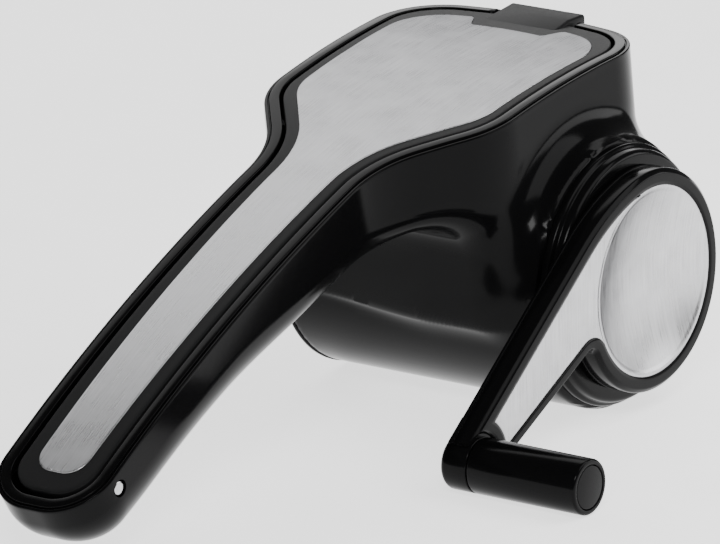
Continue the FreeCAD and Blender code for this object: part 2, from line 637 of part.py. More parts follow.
def main():
    """Builds every node."""
    os.makedirs("parts", exist_ok=True)
    for old in os.listdir("parts"):
        os.remove(os.path.join("parts", old))
    save("body", body())
    arm = lid()
    arm_screws = foot_screws()
    save("lid", arm.cut(arm_screws))
    save("lid_inlay", lid_inlay())
    save("lid_adhesive", lid_adhesive().cut(arm_screws))
    save("crank_adhesive", crank_adhesive())
    pressing_foot = foot()
    save("pressing_foot", pressing_foot.cut(arm_screws))
    save("foot_screws", arm_screws)
    save("hinge_pin", hinge_pin())
    save("drum_sheet", drum_sheet())
    save("drum_ring", drum_ring())
    save("drum_end", drum_end())
    save("side_cap", side_cap())
    save("hub_bush", hub_bush())
    shell_screws = crank_screws()
    save("crank_front", crank_front().cut(shell_screws))
    save("crank_back", crank_back().cut(shell_screws))
    save("crank_inlay", crank_inlay())
    save("crank_screws", shell_screws)
    save("drive_shaft", drive_shaft())
    save("shaft_screw", shaft_screw())
    save("knob_axle", knob_axle())
    save("knob_washer", knob_washer())
    save("knob_grip", knob_grip())
    save("knob_cap", knob_cap())


main()
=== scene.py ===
"""Looks of the rotary cheese grater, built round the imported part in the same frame.

Sizes are in millimetres inside the classes and in metres in the meshes. X runs along the drum's axis
towards the crank, Y from the handle towards the head, and Z up from the table.
Surfaces over the handle and head are drawn in (x, v): x across, and v along the top curve, 0 at the
head's far end and negative towards the handle's end. Depth is measured down from the top curve.
"""

from __future__ import annotations

import logging
import math
from dataclasses import dataclass, field
from enum import Enum
from typing import Any

import bmesh
import bpy
import numpy as np
from mathutils import Matrix

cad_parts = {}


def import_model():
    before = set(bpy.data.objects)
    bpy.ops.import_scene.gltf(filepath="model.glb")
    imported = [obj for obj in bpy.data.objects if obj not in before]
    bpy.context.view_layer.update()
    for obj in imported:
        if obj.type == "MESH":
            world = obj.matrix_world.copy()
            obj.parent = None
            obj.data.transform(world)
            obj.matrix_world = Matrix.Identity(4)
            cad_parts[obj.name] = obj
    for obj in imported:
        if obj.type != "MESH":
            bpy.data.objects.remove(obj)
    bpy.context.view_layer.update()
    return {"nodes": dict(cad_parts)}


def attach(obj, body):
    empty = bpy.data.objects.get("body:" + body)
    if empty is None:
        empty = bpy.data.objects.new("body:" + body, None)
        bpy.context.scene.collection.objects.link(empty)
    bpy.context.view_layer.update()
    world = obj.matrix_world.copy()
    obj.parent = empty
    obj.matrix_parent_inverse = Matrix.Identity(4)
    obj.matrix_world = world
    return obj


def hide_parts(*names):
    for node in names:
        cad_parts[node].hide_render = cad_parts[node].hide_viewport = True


log = logging.getLogger("grater")
Array = np.ndarray


# ---- small mathematics


def smoothstep(low: float, high: float, value: Array) -> Array:
    """Goes smoothly from 0 to 1.

    Args:
        low: value where the result is 0.
        high: value where the result is 1.
        value: numbers to map.

    Returns:
        3t^2 - 2t^3, where t is value's place between low and high, held to 0..1.
    """
    t = np.clip((np.asarray(value, float) - low) / (high - low), 0.0, 1.0)
    return t * t * (3.0 - 2.0 * t)


def round_union(a: Array, b: Array, radius: Array | float) -> Array:
    """Joins two distance fields with a circular fillet.

    Args:
        a: first field, negative inside.
        b: second field.
        radius: fillet radius.

    Returns:
        max(r, min(a, b)) less the length of (max(r - a, 0), max(r - b, 0)).
    """
    reach = np.hypot(np.maximum(radius - a, 0.0), np.maximum(radius - b, 0.0))
    return np.maximum(radius, np.minimum(a, b)) - reach


def round_common(a: Array, b: Array, radius: Array | float) -> Array:
    """Keeps what lies in both distance fields, with a circular rounding.

    Args:
        a: first field, negative inside.
        b: second field.
        radius: radius of the rounded edge.

    Returns:
        min(-r, max(a, b)) plus the length of (max(a + r, 0), max(b + r, 0)).
    """
    reach = np.hypot(np.maximum(a + radius, 0.0), np.maximum(b + radius, 0.0))
    return np.minimum(-radius, np.maximum(a, b)) + reach


def even(path: Array, count: int) -> Array:
    """Spaces points evenly along a path.

    Args:
        path: points of shape (n, d).
        count: points wanted.

    Returns:
        Points of shape (count, d), linear between the old ones.
    """
    steps = np.linalg.norm(np.diff(path, axis=0), axis=1)
    along = np.concatenate([[0.0], np.cumsum(steps)])
    along /= max(along[-1], 1e-9)
    want = np.linspace(0.0, 1.0, count)
    return np.stack([np.interp(want, along, column) for column in path.T], axis=1)


def heading(way: Array) -> float:
    """The angle of a flat vector.

    Args:
        way: the vector.

    Returns:
        Its angle from the first axis, in radians.
    """
    return math.atan2(way[1], way[0])


def circle(centre: Array | float, radius: float, start: float, stop: float, count: int) -> Array:
    """Points on an arc.

    Args:
        centre: the arc's centre.
        radius: its radius.
        start: angle of the first point.
        stop: angle of the last point.
        count: number of points.

    Returns:
        Points of shape (count, 2).
    """
    angle = np.linspace(start, stop, count)
    return centre + radius * np.stack([np.cos(angle), np.sin(angle)], axis=1)


# ---- outlines


class RoundedPath:
    """A closed flat path of straight runs joined by arcs, drawn anticlockwise."""

    def __init__(self, corners: list[tuple[float, float, float]]) -> None:
        """Works out the arcs and runs.

        Args:
            corners: (x, y, radius) of each corner.
        """
        data = np.array(corners, float)
        point, radius = data[:, :2], data[:, 2]
        back = np.roll(point, 1, axis=0) - point
        ahead = np.roll(point, -1, axis=0) - point
        back /= np.linalg.norm(back, axis=1, keepdims=True)
        ahead /= np.linalg.norm(ahead, axis=1, keepdims=True)
        half = np.arccos(np.clip((back * ahead).sum(1), -1, 1)) / 2
        along = (radius / np.tan(half))[:, None]
        middle = back + ahead
        middle /= np.linalg.norm(middle, axis=1, keepdims=True)
        self.centre = point + middle * (radius / np.sin(half))[:, None]
        self.radius = radius
        self.begin = point + back * along
        self.end = point + ahead * along
        self.sign = np.sign(ahead[:, 0] * back[:, 1] - ahead[:, 1] * back[:, 0])
        self.turn = (math.pi - 2 * half) * self.sign
        offset = self.begin - self.centre
        self.angle = np.arctan2(offset[:, 1], offset[:, 0])
        after = np.roll(self.begin, -1, axis=0)
        run = after - self.end
        self.run_length = np.linalg.norm(run, axis=1)
        self.run = run / np.maximum(self.run_length, 1e-9)[:, None]
        lengths = np.stack([np.abs(self.turn) * radius, self.run_length], axis=1).ravel()
        self.stops = np.concatenate([[0.0], np.cumsum(lengths)])
        self.length = float(self.stops[-1])

    def at(self, s: Array) -> tuple[Array, Array]:
        """Points and outward normals at distances along the path.

        Args:
            s: distances from the start of the first corner's arc.

        Returns:
            Points and unit normals, each of shape (n, 2).
        """
        s = np.mod(np.asarray(s, float), self.length)
        piece = np.clip(np.searchsorted(self.stops, s, side="right") - 1, 0, len(self.stops) - 2)
        rest = s - self.stops[piece]
        corner, is_run = piece // 2, piece % 2 == 1
        angle = self.angle[corner] + self.sign[corner] * rest / np.maximum(self.radius[corner], 1e-9)
        spoke = np.stack([np.cos(angle), np.sin(angle)], axis=1)
        arc_point = self.centre[corner] + spoke * self.radius[corner][:, None]
        run_point = self.end[corner] + self.run[corner] * rest[:, None]
        run_normal = np.stack([self.run[corner][:, 1], -self.run[corner][:, 0]], axis=1)
        pick = is_run[:, None]
        point = np.where(pick, run_point, arc_point)
        return point, np.where(pick, run_normal, spoke * self.sign[corner][:, None])

    def distance(self, x: Array, y: Array) -> Array:
        """Signed distance to the path, negative inside.

        Args:
            x: first coordinate.
            y: second coordinate.

        Returns:
            The distance of the nearest arc or run, with its sign.
        """
        best = np.full(np.shape(x), 1e9)
        for i in range(len(self.radius)):
            dx, dy = x - self.centre[i, 0], y - self.centre[i, 1]
            middle = self.angle[i] + self.turn[i] / 2
            off = np.abs(np.mod(np.arctan2(dy, dx) - middle + math.pi, 2 * math.pi) - math.pi)
            near = (np.hypot(dx, dy) - self.radius[i]) * self.sign[i]
            near = np.where(off <= abs(self.turn[i]) / 2 + 1e-6, near, 1e9)
            best = np.where(np.abs(near) < np.abs(best), near, best)
            dx, dy = x - self.end[i, 0], y - self.end[i, 1]
            t = np.clip(dx * self.run[i, 0] + dy * self.run[i, 1], 0.0, self.run_length[i])
            side = dx * self.run[i, 1] - dy * self.run[i, 0]
            near = np.hypot(dx - t * self.run[i, 0], dy - t * self.run[i, 1])
            near = np.where(side >= 0, near, -near)
            best = np.where(np.abs(near) < np.abs(best), near, best)
        return best

    def half(self, count: int, inset: float = 0.0) -> Array:
        """The right half of a path that is symmetric about x = 0 and starts at its far corner.

        Args:
            count: number of points.
            inset: how far the points move inwards along the normal.

        Returns:
            Points (x, y), x from 0 out and back to 0, shape (count, 2).
        """
        start = abs(self.turn[0]) * self.radius[0] / 2
        point, normal = self.at(start + np.linspace(0.0, self.length / 2, count))
        point = point - normal * inset
        point[:, 0] *= -1
        point[[0, -1], 0] = 0.0
        point[:, 0] = np.maximum(point[:, 0], 0.0)
        return point


@dataclass(frozen=True)
class TopCurve:
    """The curve of the top, seen from the side: two arcs, falling from the head to the handle's end."""

    height: float = 88.1
    far_y: float = 35.9
    radius1: float = 325.0
    turn1: float = math.radians(20.3)
    radius2: float = 542.0
    turn2: float = math.radians(12.4)

    @property
    def length(self) -> float:
        """Length of the whole curve.

        Returns:
            Millimetres along both arcs.
        """
        return self.radius1 * self.turn1 + self.radius2 * self.turn2

    @property
    def centres(self) -> tuple[float, float, float, float]:
        """Centres of the two arcs.

        Returns:
            y and z of the first, then y and z of the second.
        """
        y1, z1 = self.far_y, self.height - self.radius1
        step = self.radius1 - self.radius2
        return y1, z1, y1 - math.sin(self.turn1) * step, z1 + math.cos(self.turn1) * step

    def turn(self, v: Array) -> Array:
        """How far the curve has turned down.

        Args:
            v: places along the top.

        Returns:
            Angles in radians.
        """
        u = -np.asarray(v, float)
        knee = self.radius1 * self.turn1
        return np.where(u < knee, u / self.radius1, self.turn1 + (u - knee) / self.radius2)

    def place(self, x: Array, v: Array, depth: Array | float) -> Array:
        """Points below the top, straight down under the head and square to the top on the handle.

        Args:
            x: across.
            v: along the top.
            depth: distance below the top curve.

        Returns:
            Points of shape (..., 3).
        """
        x, v, depth = np.broadcast_arrays(*(np.asarray(a, float) for a in (x, v, depth)))
        turn = self.turn(v)
        y1, z1, y2, z2 = self.centres
        first = turn < self.turn1
        radius = np.where(first, self.radius1, self.radius2)
        ny, nz = -np.sin(turn), np.cos(turn)
        y = np.where(first, y1, y2) + ny * radius
        z = np.where(first, z1, z2) + nz * radius
        square = smoothstep(-95.0, -140.0, y)
        dy, dz = -ny * square, -(1 - square) - nz * square
        scale = depth / -(dy * ny + dz * nz)
        return np.stack([x, y + dy * scale, z + dz * scale], axis=-1)

    def unroll(self, y: Array, z: Array) -> tuple[Array, Array]:
        """The v and depth of points in the side view.

        Args:
            y: along.
            z: up.

        Returns:
            v (by the same rule as place) and depth square to the curve.
        """
        y1, z1, y2, z2 = self.centres
        t1, t2 = np.arctan2(y1 - y, z - z1), np.arctan2(y2 - y, z - z2)
        first = t1 < self.turn1
        knee = self.radius1 * self.turn1
        u_square = np.where(first, t1 * self.radius1, knee + (t2 - self.turn1) * self.radius2)
        depth1, depth2 = self.radius1 - np.hypot(y - y1, z - z1), self.radius2 - np.hypot(y - y2, z - z2)
        depth = np.where(first, depth1, depth2)
        a1 = np.arcsin(np.clip((y1 - y) / self.radius1, -1, 1))
        a2 = np.arcsin(np.clip((y2 - y) / self.radius2, -1, 1))
        u_under = np.where(a1 < self.turn1, a1 * self.radius1, knee + (a2 - self.turn1) * self.radius2)
        square = smoothstep(-95.0, -140.0, y)
        return -(u_under * (1 - square) + u_square * square), depth


TOP = TopCurve()
END = -TOP.length
AXIS_Z = 34.9
PIN_V = END + 14.6
PIN = TOP.place(0.0, PIN_V, 4.6)
INSET = 4.0
CHANNEL = 12.5


def symmetric(far: tuple[float, float, float], *left: tuple[float, float, float]) -> RoundedPath:
    """An outline that is the same on both sides.

    Args:
        far: the corner (x, v, radius) on the middle line, at the head's far end.
        left: the corners down the left side.

    Returns:
        The path, with the left corners mirrored on the right.
    """
    return RoundedPath([far, *left, *((-x, v, radius) for x, v, radius in reversed(left))])


HEAD = ((0.0, 1.6, 95.0), (-38.0, -5.1, 19.5), (-36.5, -72.7, 24.0))
RIM = symmetric(*HEAD, (-17.0, -97.3, 30.0), (-16.6, END, 14.2))
ARM = symmetric(*HEAD, (-16.9, -97.3, 30.0), (-16.2, END + 1.2, 13.6))
SHEET_HEAD = ((0.0, -7.8, 86.0), (-30.4, -14.3, 15.0), (-29.0, -68.5, 17.0))
SHEET = symmetric(*SHEET_HEAD, (-8.9, -94.5, 36.0), (-7.2, END + 12.2, 5.6))


# ---- meshes


@dataclass
class Skin:
    """Collects grid surfaces and makes one object of them."""

    name: str
    points: list[Array] = field(default_factory=list)
    faces: list[Array] = field(default_factory=list)
    coords: list[Array] = field(default_factory=list)
    count: int = 0

    def add(
        self,
        grid: Array,
        wrap_rows: bool = False,
        wrap_cols: bool = False,
        uv: Array | None = None,
        keep: Array | None = None,
        flip: bool = False,
    ) -> "Skin":
        """Adds one grid of points as quads.

        Args:
            grid: points in millimetres, shape (rows, cols, 3).
            wrap_rows: the last row joins the first.
            wrap_cols: the last column joins the first.
            uv: texture coordinates of shape (rows, cols, 2); x and y if left out.
            keep: which quads to keep, by rows and columns.
            flip: turns the faces over.

        Returns:
            The skin itself.
        """
        rows, cols = grid.shape[:2]
        i = np.arange(rows if wrap_rows else rows - 1)[:, None]
        j = np.arange(cols if wrap_cols else cols - 1)[None, :]
        i2, j2 = (i + 1) % rows, (j + 1) % cols
        corners = (i * cols + j, i * cols + j2, i2 * cols + j2, i2 * cols + j)
        quads = np.stack(np.broadcast_arrays(*corners), axis=-1)
        quads = quads[keep] if keep is not None else quads.reshape(-1, 4)
        if flip:
            quads = quads[:, ::-1]
        self.points.append(grid.reshape(-1, 3) * 0.001)
        self.coords.append((grid[..., :2] if uv is None else uv).reshape(-1, 2) * 0.001)
        self.faces.append(quads + self.count)
        self.count += rows * cols
        return self

    def build(self, closed: bool = True, sharp: float = 32.0) -> bpy.types.Object:
        """Makes the mesh object, merging points that coincide.

        Args:
            closed: every part of the surface is closed, so its normals can be turned outwards.
            sharp: edges that bend by more degrees than this stay crisp.

        Returns:
            The new object, linked to the scene.
        """
        points, faces = np.concatenate(self.points), np.concatenate(self.faces)
        mesh = bpy.data.meshes.new(self.name)
        mesh.from_pydata(points.tolist(), [], faces.tolist())
        layer = mesh.uv_layers.new(name="flat")
        layer.data.foreach_set("uv", np.concatenate(self.coords)[faces.ravel()].ravel())
        made = bmesh.new()
        made.from_mesh(mesh)
        bmesh.ops.remove_doubles(made, verts=made.verts, dist=2e-6)
        bmesh.ops.dissolve_degenerate(made, edges=made.edges, dist=1e-6)
        if closed:
            bmesh.ops.recalc_face_normals(made, faces=made.faces)
        made.to_mesh(mesh)
        made.free()
        mesh.polygons.foreach_set("use_smooth", np.ones(len(mesh.polygons), bool))
        mesh.set_sharp_from_angle(angle=math.radians(sharp))
        obj = bpy.data.objects.new(self.name, mesh)
        bpy.context.scene.collection.objects.link(obj)
        log.info("%s: %d faces", self.name, len(mesh.polygons))
        return obj


def thicken(obj: bpy.types.Object, depth: float) -> bpy.types.Object:
    """Gives a single sheet its thickness, behind its outward side.

    Args:
        obj: the sheet.
        depth: how thick, in millimetres.

    Returns:
        The same object.
    """
    wall = obj.modifiers.new("thickness", "SOLIDIFY")
    wall.thickness = depth * 0.001
    wall.offset = -1.0
    return obj


def relaxed(grid: Array, rounds: int = 800) -> Array:
    """Evens out a flat grid between its fixed borders, so that no quad is folded over.

    Args:
        grid: points of shape (rows, cols, 2).
        rounds: how often every inner point moves to its neighbours' weighted middle.

    Returns:
        The grid, on which the rows and columns are smooth and meet as evenly as they can.
    """
    g = grid.copy()
    for _ in range(rounds):
        down, across = (g[2:, 1:-1] - g[:-2, 1:-1]) / 2, (g[1:-1, 2:] - g[1:-1, :-2]) / 2
        a = (across**2).sum(-1, keepdims=True)
        b = (down * across).sum(-1, keepdims=True)
        c = (down**2).sum(-1, keepdims=True)
        twist = (g[2:, 2:] - g[2:, :-2] - g[:-2, 2:] + g[:-2, :-2]) / 2
        rows, cols = g[2:, 1:-1] + g[:-2, 1:-1], g[1:-1, 2:] + g[1:-1, :-2]
        g[1:-1, 1:-1] = (a * rows + c * cols - b * twist) / (2 * (a + c) + 1e-12)
    return g


def spin(profile: Array, y: float, z: float, steps: int = 128) -> Array:
    """Turns a profile round an axis along X.

    Args:
        profile: (x, radius) pairs.
        y: the axis' place.
        z: the axis' height.
        steps: number of columns round.

    Returns:
        Grid of shape (len(profile), steps, 3), to be wrapped by columns.
    """
    angle = np.linspace(0.0, 2 * math.pi, steps, endpoint=False)
    x, r = profile[:, :1], profile[:, 1:2]
    ones = np.ones_like(angle)[None, :]
    return np.stack([x * ones, y + r * np.cos(angle)[None, :], z + r * np.sin(angle)[None, :]], axis=-1)


def lathe(name: str, profile: Array, y: float, z: float, steps: int = 128) -> bpy.types.Object:
    """Makes an object from a profile turned round an axis along X.

    Args:
        name: the object's name.
        profile: (x, radius) pairs.
        y: the axis' place.
        z: the axis' height.
        steps: number of columns round.

    Returns:
        The object.
    """
    return Skin(name).add(spin(profile, y, z, steps), wrap_cols=True).build()


def stand(obj: bpy.types.Object, axes: Array, place: Array) -> None:
    """Puts a light or a camera into the scene.

    Args:
        obj: the object.
        axes: its right, up and back as rows.
        place: where it stands, in metres.
    """
    turn = Matrix(axes.T.tolist()).to_4x4()
    turn.translation = place.tolist()
    obj.matrix_world = turn
    bpy.context.scene.collection.objects.link(obj)


def softened(points: list[tuple[float, float, float]], steps: int = 5) -> Array:
    """A profile with rounded corners.

    Args:
        points: (a, b, radius) of each point; the first and last are kept sharp.
        steps: points on each rounding.

    Returns:
        Profile points of shape (n, 2): each corner becomes an arc that touches both runs.
    """
    data = np.array(points, float)
    made = [data[:1, :2]]
    for before, here, after in zip(data[:-2], data[1:-1], data[2:]):
        corner, radius = here[:2], here[2]
        back, ahead = before[:2] - corner, after[:2] - corner
        back, ahead = back / np.linalg.norm(back), ahead / np.linalg.norm(ahead)
        half = math.acos(float(np.clip(back @ ahead, -1, 1))) / 2
        if radius <= 0 or abs(half - math.pi / 2) < 1e-3:
            made.append(corner[None, :])
            continue
        middle = (back + ahead) / np.linalg.norm(back + ahead)
        centre = corner + middle * radius / math.sin(half)
        span = math.pi / 2 - half
        turn = np.linspace(-span, span, steps)[:, None]
        side = np.array([-middle[1], middle[0]])
        if side @ ahead < 0:
            side = -side
        made.append(centre + radius * (-middle * np.cos(turn) + side * np.sin(turn)))
    made.append(data[-1:, :2])
    return np.concatenate(made)


def block(low: tuple[float, float, float], high: tuple[float, float, float], radius: float = 0.6) -> Array:
    """A box with rounded corners in plan and section.

    Args:
        low: lowest corner.
        high: highest corner.
        radius: rounding.

    Returns:
        Grid of sections across Z, to be wrapped by columns; the end sections close to a point.
    """
    a, b = np.array(low, float), np.array(high, float)
    centre, half = (a + b) / 2, (b - a) / 2
    turn = np.linspace(0, 2 * math.pi, 32, endpoint=False)
    c, s = np.cos(turn), np.sin(turn)
    tilt = np.linspace(-math.pi / 2, math.pi / 2, 8)
    lift = np.where(tilt < 0, -1, 1) * (half[2] - radius) + np.sin(tilt) * radius
    shrink = np.cos(tilt) * radius
    ring_x = np.sign(c)[None, :] * (half[0] - radius) + shrink[:, None] * c[None, :]
    ring_y = np.sign(s)[None, :] * (half[1] - radius) + shrink[:, None] * s[None, :]
    ring_z = np.broadcast_to(lift[:, None], ring_x.shape)
    grid = np.stack([ring_x, ring_y, ring_z], axis=-1)
    cap = grid[[0, -1]].copy()
    cap[:, :, :2] = 0.0
    return np.concatenate([cap[:1], grid, cap[1:]]) + centre


def plate(
    path: RoundedPath, profile: Array, count: int, dip: float = 0.0, across: int = 24
) -> tuple[Array, Array]:
    """A closed plate that follows the top curve.

    Args:
        path: outline in (x, v).
        profile: (inset, depth) from the plate's underside edge, round the side, to its top edge.
        count: stations along half the outline.
        dip: how far the far edge draws back behind the thumb tab.
        across: rows that cross the top and the underside.

    Returns:
        Grid (stations, rows, 3), to be wrapped by columns, and its (x, v) coordinates.
        Each station goes round the plate: up the right edge by the profile, straight across the top,
        down the left edge and straight back across the underside.
    """
    edges = np.stack([path.half(count, inset) for inset in profile[:, 0]], axis=1)
    depth = np.broadcast_to(profile[:, 1], edges.shape[:2])
    left = edges.copy()
    left[..., 0] *= -1
    mix = np.linspace(0, 1, across + 2)[1:-1][None, :, None]
    top = edges[:, -1:] * (1 - mix) + left[:, -1:] * mix
    bottom = left[:, :1] * (1 - mix) + edges[:, :1] * mix
    flat = np.concatenate([edges, top, left[:, ::-1], bottom], axis=1)
    flat[..., 1] -= dip * smoothstep(14.5, 10.5, np.abs(flat[..., 0])) * smoothstep(-44.0, -8.0, flat[..., 1])
    low, high = np.full(top.shape[:2], profile[0, 1]), np.full(top.shape[:2], profile[-1, 1])
    depths = np.concatenate([depth, high, depth[:, ::-1], low], axis=1)
    return TOP.place(flat[..., 0], flat[..., 1], depths), flat


# ---- finishes


class Finish(Enum):
    """The kinds of surface on the object."""

    GLOSS = "black_gloss"
    SATIN = "black_satin"
    WHITE = "white_plastic"
    BRUSHED = "brushed"
    BRIGHT = "bright_steel"
    FILM = "film"


Colour = tuple[float, float, float]
Socket = bpy.types.NodeSocket
FINE_GRAIN = (400.0, 400.0, 400.0)


def scaled(colour: Colour, factor: float) -> tuple[float, float, float, float]:
    """A lighter or darker colour.

    Args:
        colour: the colour.
        factor: what to multiply it by.

    Returns:
        The colour, held to 1, with full alpha.
    """
    red, green, blue = (min(c * factor, 1.0) for c in colour)
    return red, green, blue, 1.0


class Graph:
    """A node material under construction, wired towards its principled shader."""

    def __init__(self, name: str) -> None:
        """Makes an empty node material.

        Args:
            name: the material's name.
        """
        self.mat = bpy.data.materials.new(name)
        self.mat.use_nodes = True
        self.shader = self.mat.node_tree.nodes["Principled BSDF"]

    def feed(self, node: bpy.types.Node, inputs: dict[str, Any]) -> None:
        """Fills a node's inputs.

        Args:
            node: the node.
            inputs: for each input, its value or the socket that drives it.
        """
        for key, value in inputs.items():
            if isinstance(value, Socket):
                self.mat.node_tree.links.new(value, node.inputs[key])
            else:
                node.inputs[key].default_value = value

    def add(self, kind: str, output: str, inputs: dict[str, Any], data_type: str = "") -> Socket:
        """Adds a node.

        Args:
            kind: its type, without the leading ShaderNode.
            output: the wanted output.
            inputs: as in feed().
            data_type: the node's data type, if it isn't its own default.

        Returns:
            The output's socket.
        """
        node = self.mat.node_tree.nodes.new("ShaderNode" + kind)
        if data_type:
            node.data_type = data_type
        self.feed(node, inputs)
        return node.outputs[output]

    def vary(self, tone: Socket, colour: Colour, swing: float, roughness: float, spread: float) -> None:
        """Lets one texture vary the colour and the roughness.

        Args:
            tone: the texture.
            colour: middle colour.
            swing: share by which the colour goes up and down.
            roughness: middle roughness.
            spread: share by which the roughness goes up and down.
        """
        ends = {"A": scaled(colour, 1 - swing), "B": scaled(colour, 1 + swing)}
        limits = {"To Min": roughness * (1 - spread), "To Max": roughness * (1 + spread)}
        tint = self.add("Mix", "Result", {**ends, "Factor": tone}, "RGBA")
        rough = self.add("MapRange", "Result", {**limits, "Value": tone})
        self.feed(self.shader, {"Base Color": tint, "Roughness": rough})

    def emboss(self, height: Socket, strength: float, distance: float) -> None:
        """Bumps the surface.

        Args:
            height: the texture.
            strength: how strongly, 0 to 1.
            distance: height of the bumps in metres.
        """
        inputs = {"Height": height, "Strength": strength, "Distance": distance}
        self.feed(self.shader, {"Normal": self.add("Bump", "Normal", inputs)})


@dataclass(frozen=True)
class Plastic:
    """A moulded plastic: colour, sheen and a faint unevenness."""

    colour: Colour
    roughness: float
    grain: float = 900.0
    ripple: float = 0.02
    specular: float = 0.5

    def make(self, name: str) -> bpy.types.Material:
        """Makes the node material.

        Args:
            name: the material's name.

        Returns:
            The material: noise varies the roughness and colour a little and gives a faint bump.
        """
        graph = Graph(name)
        place = graph.add("TexCoord", "Object", {})
        noise = graph.add("TexNoise", "Fac", {"Scale": self.grain, "Detail": 3.0, "Vector": place})
        graph.vary(noise, self.colour, 0.1, self.roughness, 0.15)
        graph.emboss(noise, self.ripple, 0.0002)
        graph.feed(graph.shader, {"Specular IOR Level": self.specular})
        return graph.mat


@dataclass(frozen=True)
class Steel:
    """A steel: colour, roughness and the direction of its brushing."""

    colour: Colour
    roughness: float
    stretch: tuple[float, float, float] = (2600.0, 70.0, 1.0)
    source: str = "UV"
    streak: float = 0.12
    edge: float = 1.0
    ripple: float = 0.12

    def make(self, name: str) -> bpy.types.Material:
        """Makes the node material.

        Args:
            name: the material's name.

        Returns:
            The material: noise drawn out along the brushing varies colour, roughness and a fine bump,
            and a broad cloud changes the tone slowly over the sheet.
        """
        graph = Graph(name)
        flat, solid = (graph.add("TexCoord", source, {}) for source in (self.source, "Object"))
        drawn = graph.add("Mapping", "Vector", {"Scale": self.stretch, "Vector": flat})
        fine = graph.add("TexNoise", "Fac", {"Scale": 1.0, "Detail": 5.0, "Vector": drawn})
        cloud = graph.add("TexNoise", "Fac", {"Scale": 110.0, "Detail": 4.0, "Vector": solid})
        both = graph.add("Mix", "Result", {"Factor": 0.45, "A": fine, "B": cloud})
        tone = graph.add("MapRange", "Result", {"From Min": 0.36, "From Max": 0.64, "Value": both})
        graph.vary(tone, self.colour, self.streak, self.roughness, 0.2)
        graph.emboss(fine, self.ripple, 0.0001)
        graph.feed(graph.shader, {"Metallic": 1.0, "Specular Tint": scaled((1.0, 1.0, 1.0), self.edge)})
        return graph.mat


FINISHES: dict[Finish, Plastic | Steel] = {
    Finish.GLOSS: Plastic((0.003, 0.003, 0.0032), 0.14, grain=500.0, ripple=0.01, specular=0.07),
    Finish.SATIN: Plastic((0.014, 0.014, 0.0145), 0.45, grain=1500.0, ripple=0.05, specular=0.06),
    Finish.WHITE: Plastic((0.75, 0.75, 0.72), 0.45),
    Finish.BRUSHED: Steel((0.53, 0.53, 0.54), 0.3, edge=0.02, streak=0.16, ripple=0.25),
    Finish.BRIGHT: Steel((0.58, 0.58, 0.59), 0.22, stretch=FINE_GRAIN, source="Object", ripple=0.03),
    Finish.FILM: Plastic((0.8, 0.78, 0.7), 0.6),
}


@dataclass
class Palette:
    """The materials, each made once."""

    made: dict[Finish, bpy.types.Material] = field(default_factory=dict)

    def put(self, obj: bpy.types.Object, finish: Finish) -> None:
        """Gives an object one of the finishes.

        Args:
            obj: the object.
            finish: which finish.
        """
        if finish not in self.made:
            self.made[finish] = FINISHES[finish].make(finish.value)
        obj.data.materials.clear()
        obj.data.materials.append(self.made[finish])


@dataclass
class Piece:
    """A finished object with what it stands for."""

    obj: bpy.types.Object
    body: str
    nodes: tuple[str, ...]
    finish: Finish

    @property
    def slot(self) -> str:
        """Name of the material slot.

        Returns:
            The finish's own name.
        """
        return self.finish.value

    def settle(self, palette: Palette) -> None:
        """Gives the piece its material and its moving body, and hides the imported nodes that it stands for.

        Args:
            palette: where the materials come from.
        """
        palette.put(self.obj, self.finish)
        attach(self.obj, self.body)
        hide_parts(*self.nodes)


class SubAssembly:
    """A group of pieces that build() makes and dress() finishes."""

    def build(self) -> list[Piece]:
        """Makes the pieces.

        Returns:
            The new pieces.
        """
        raise NotImplementedError

    def dress(self, palette: Palette) -> None:
        """Builds the pieces and gives each its material and its place in the part.

        Args:
            palette: where the materials come from.
        """
        for piece in self.build():
            piece.settle(palette)


# ---- body


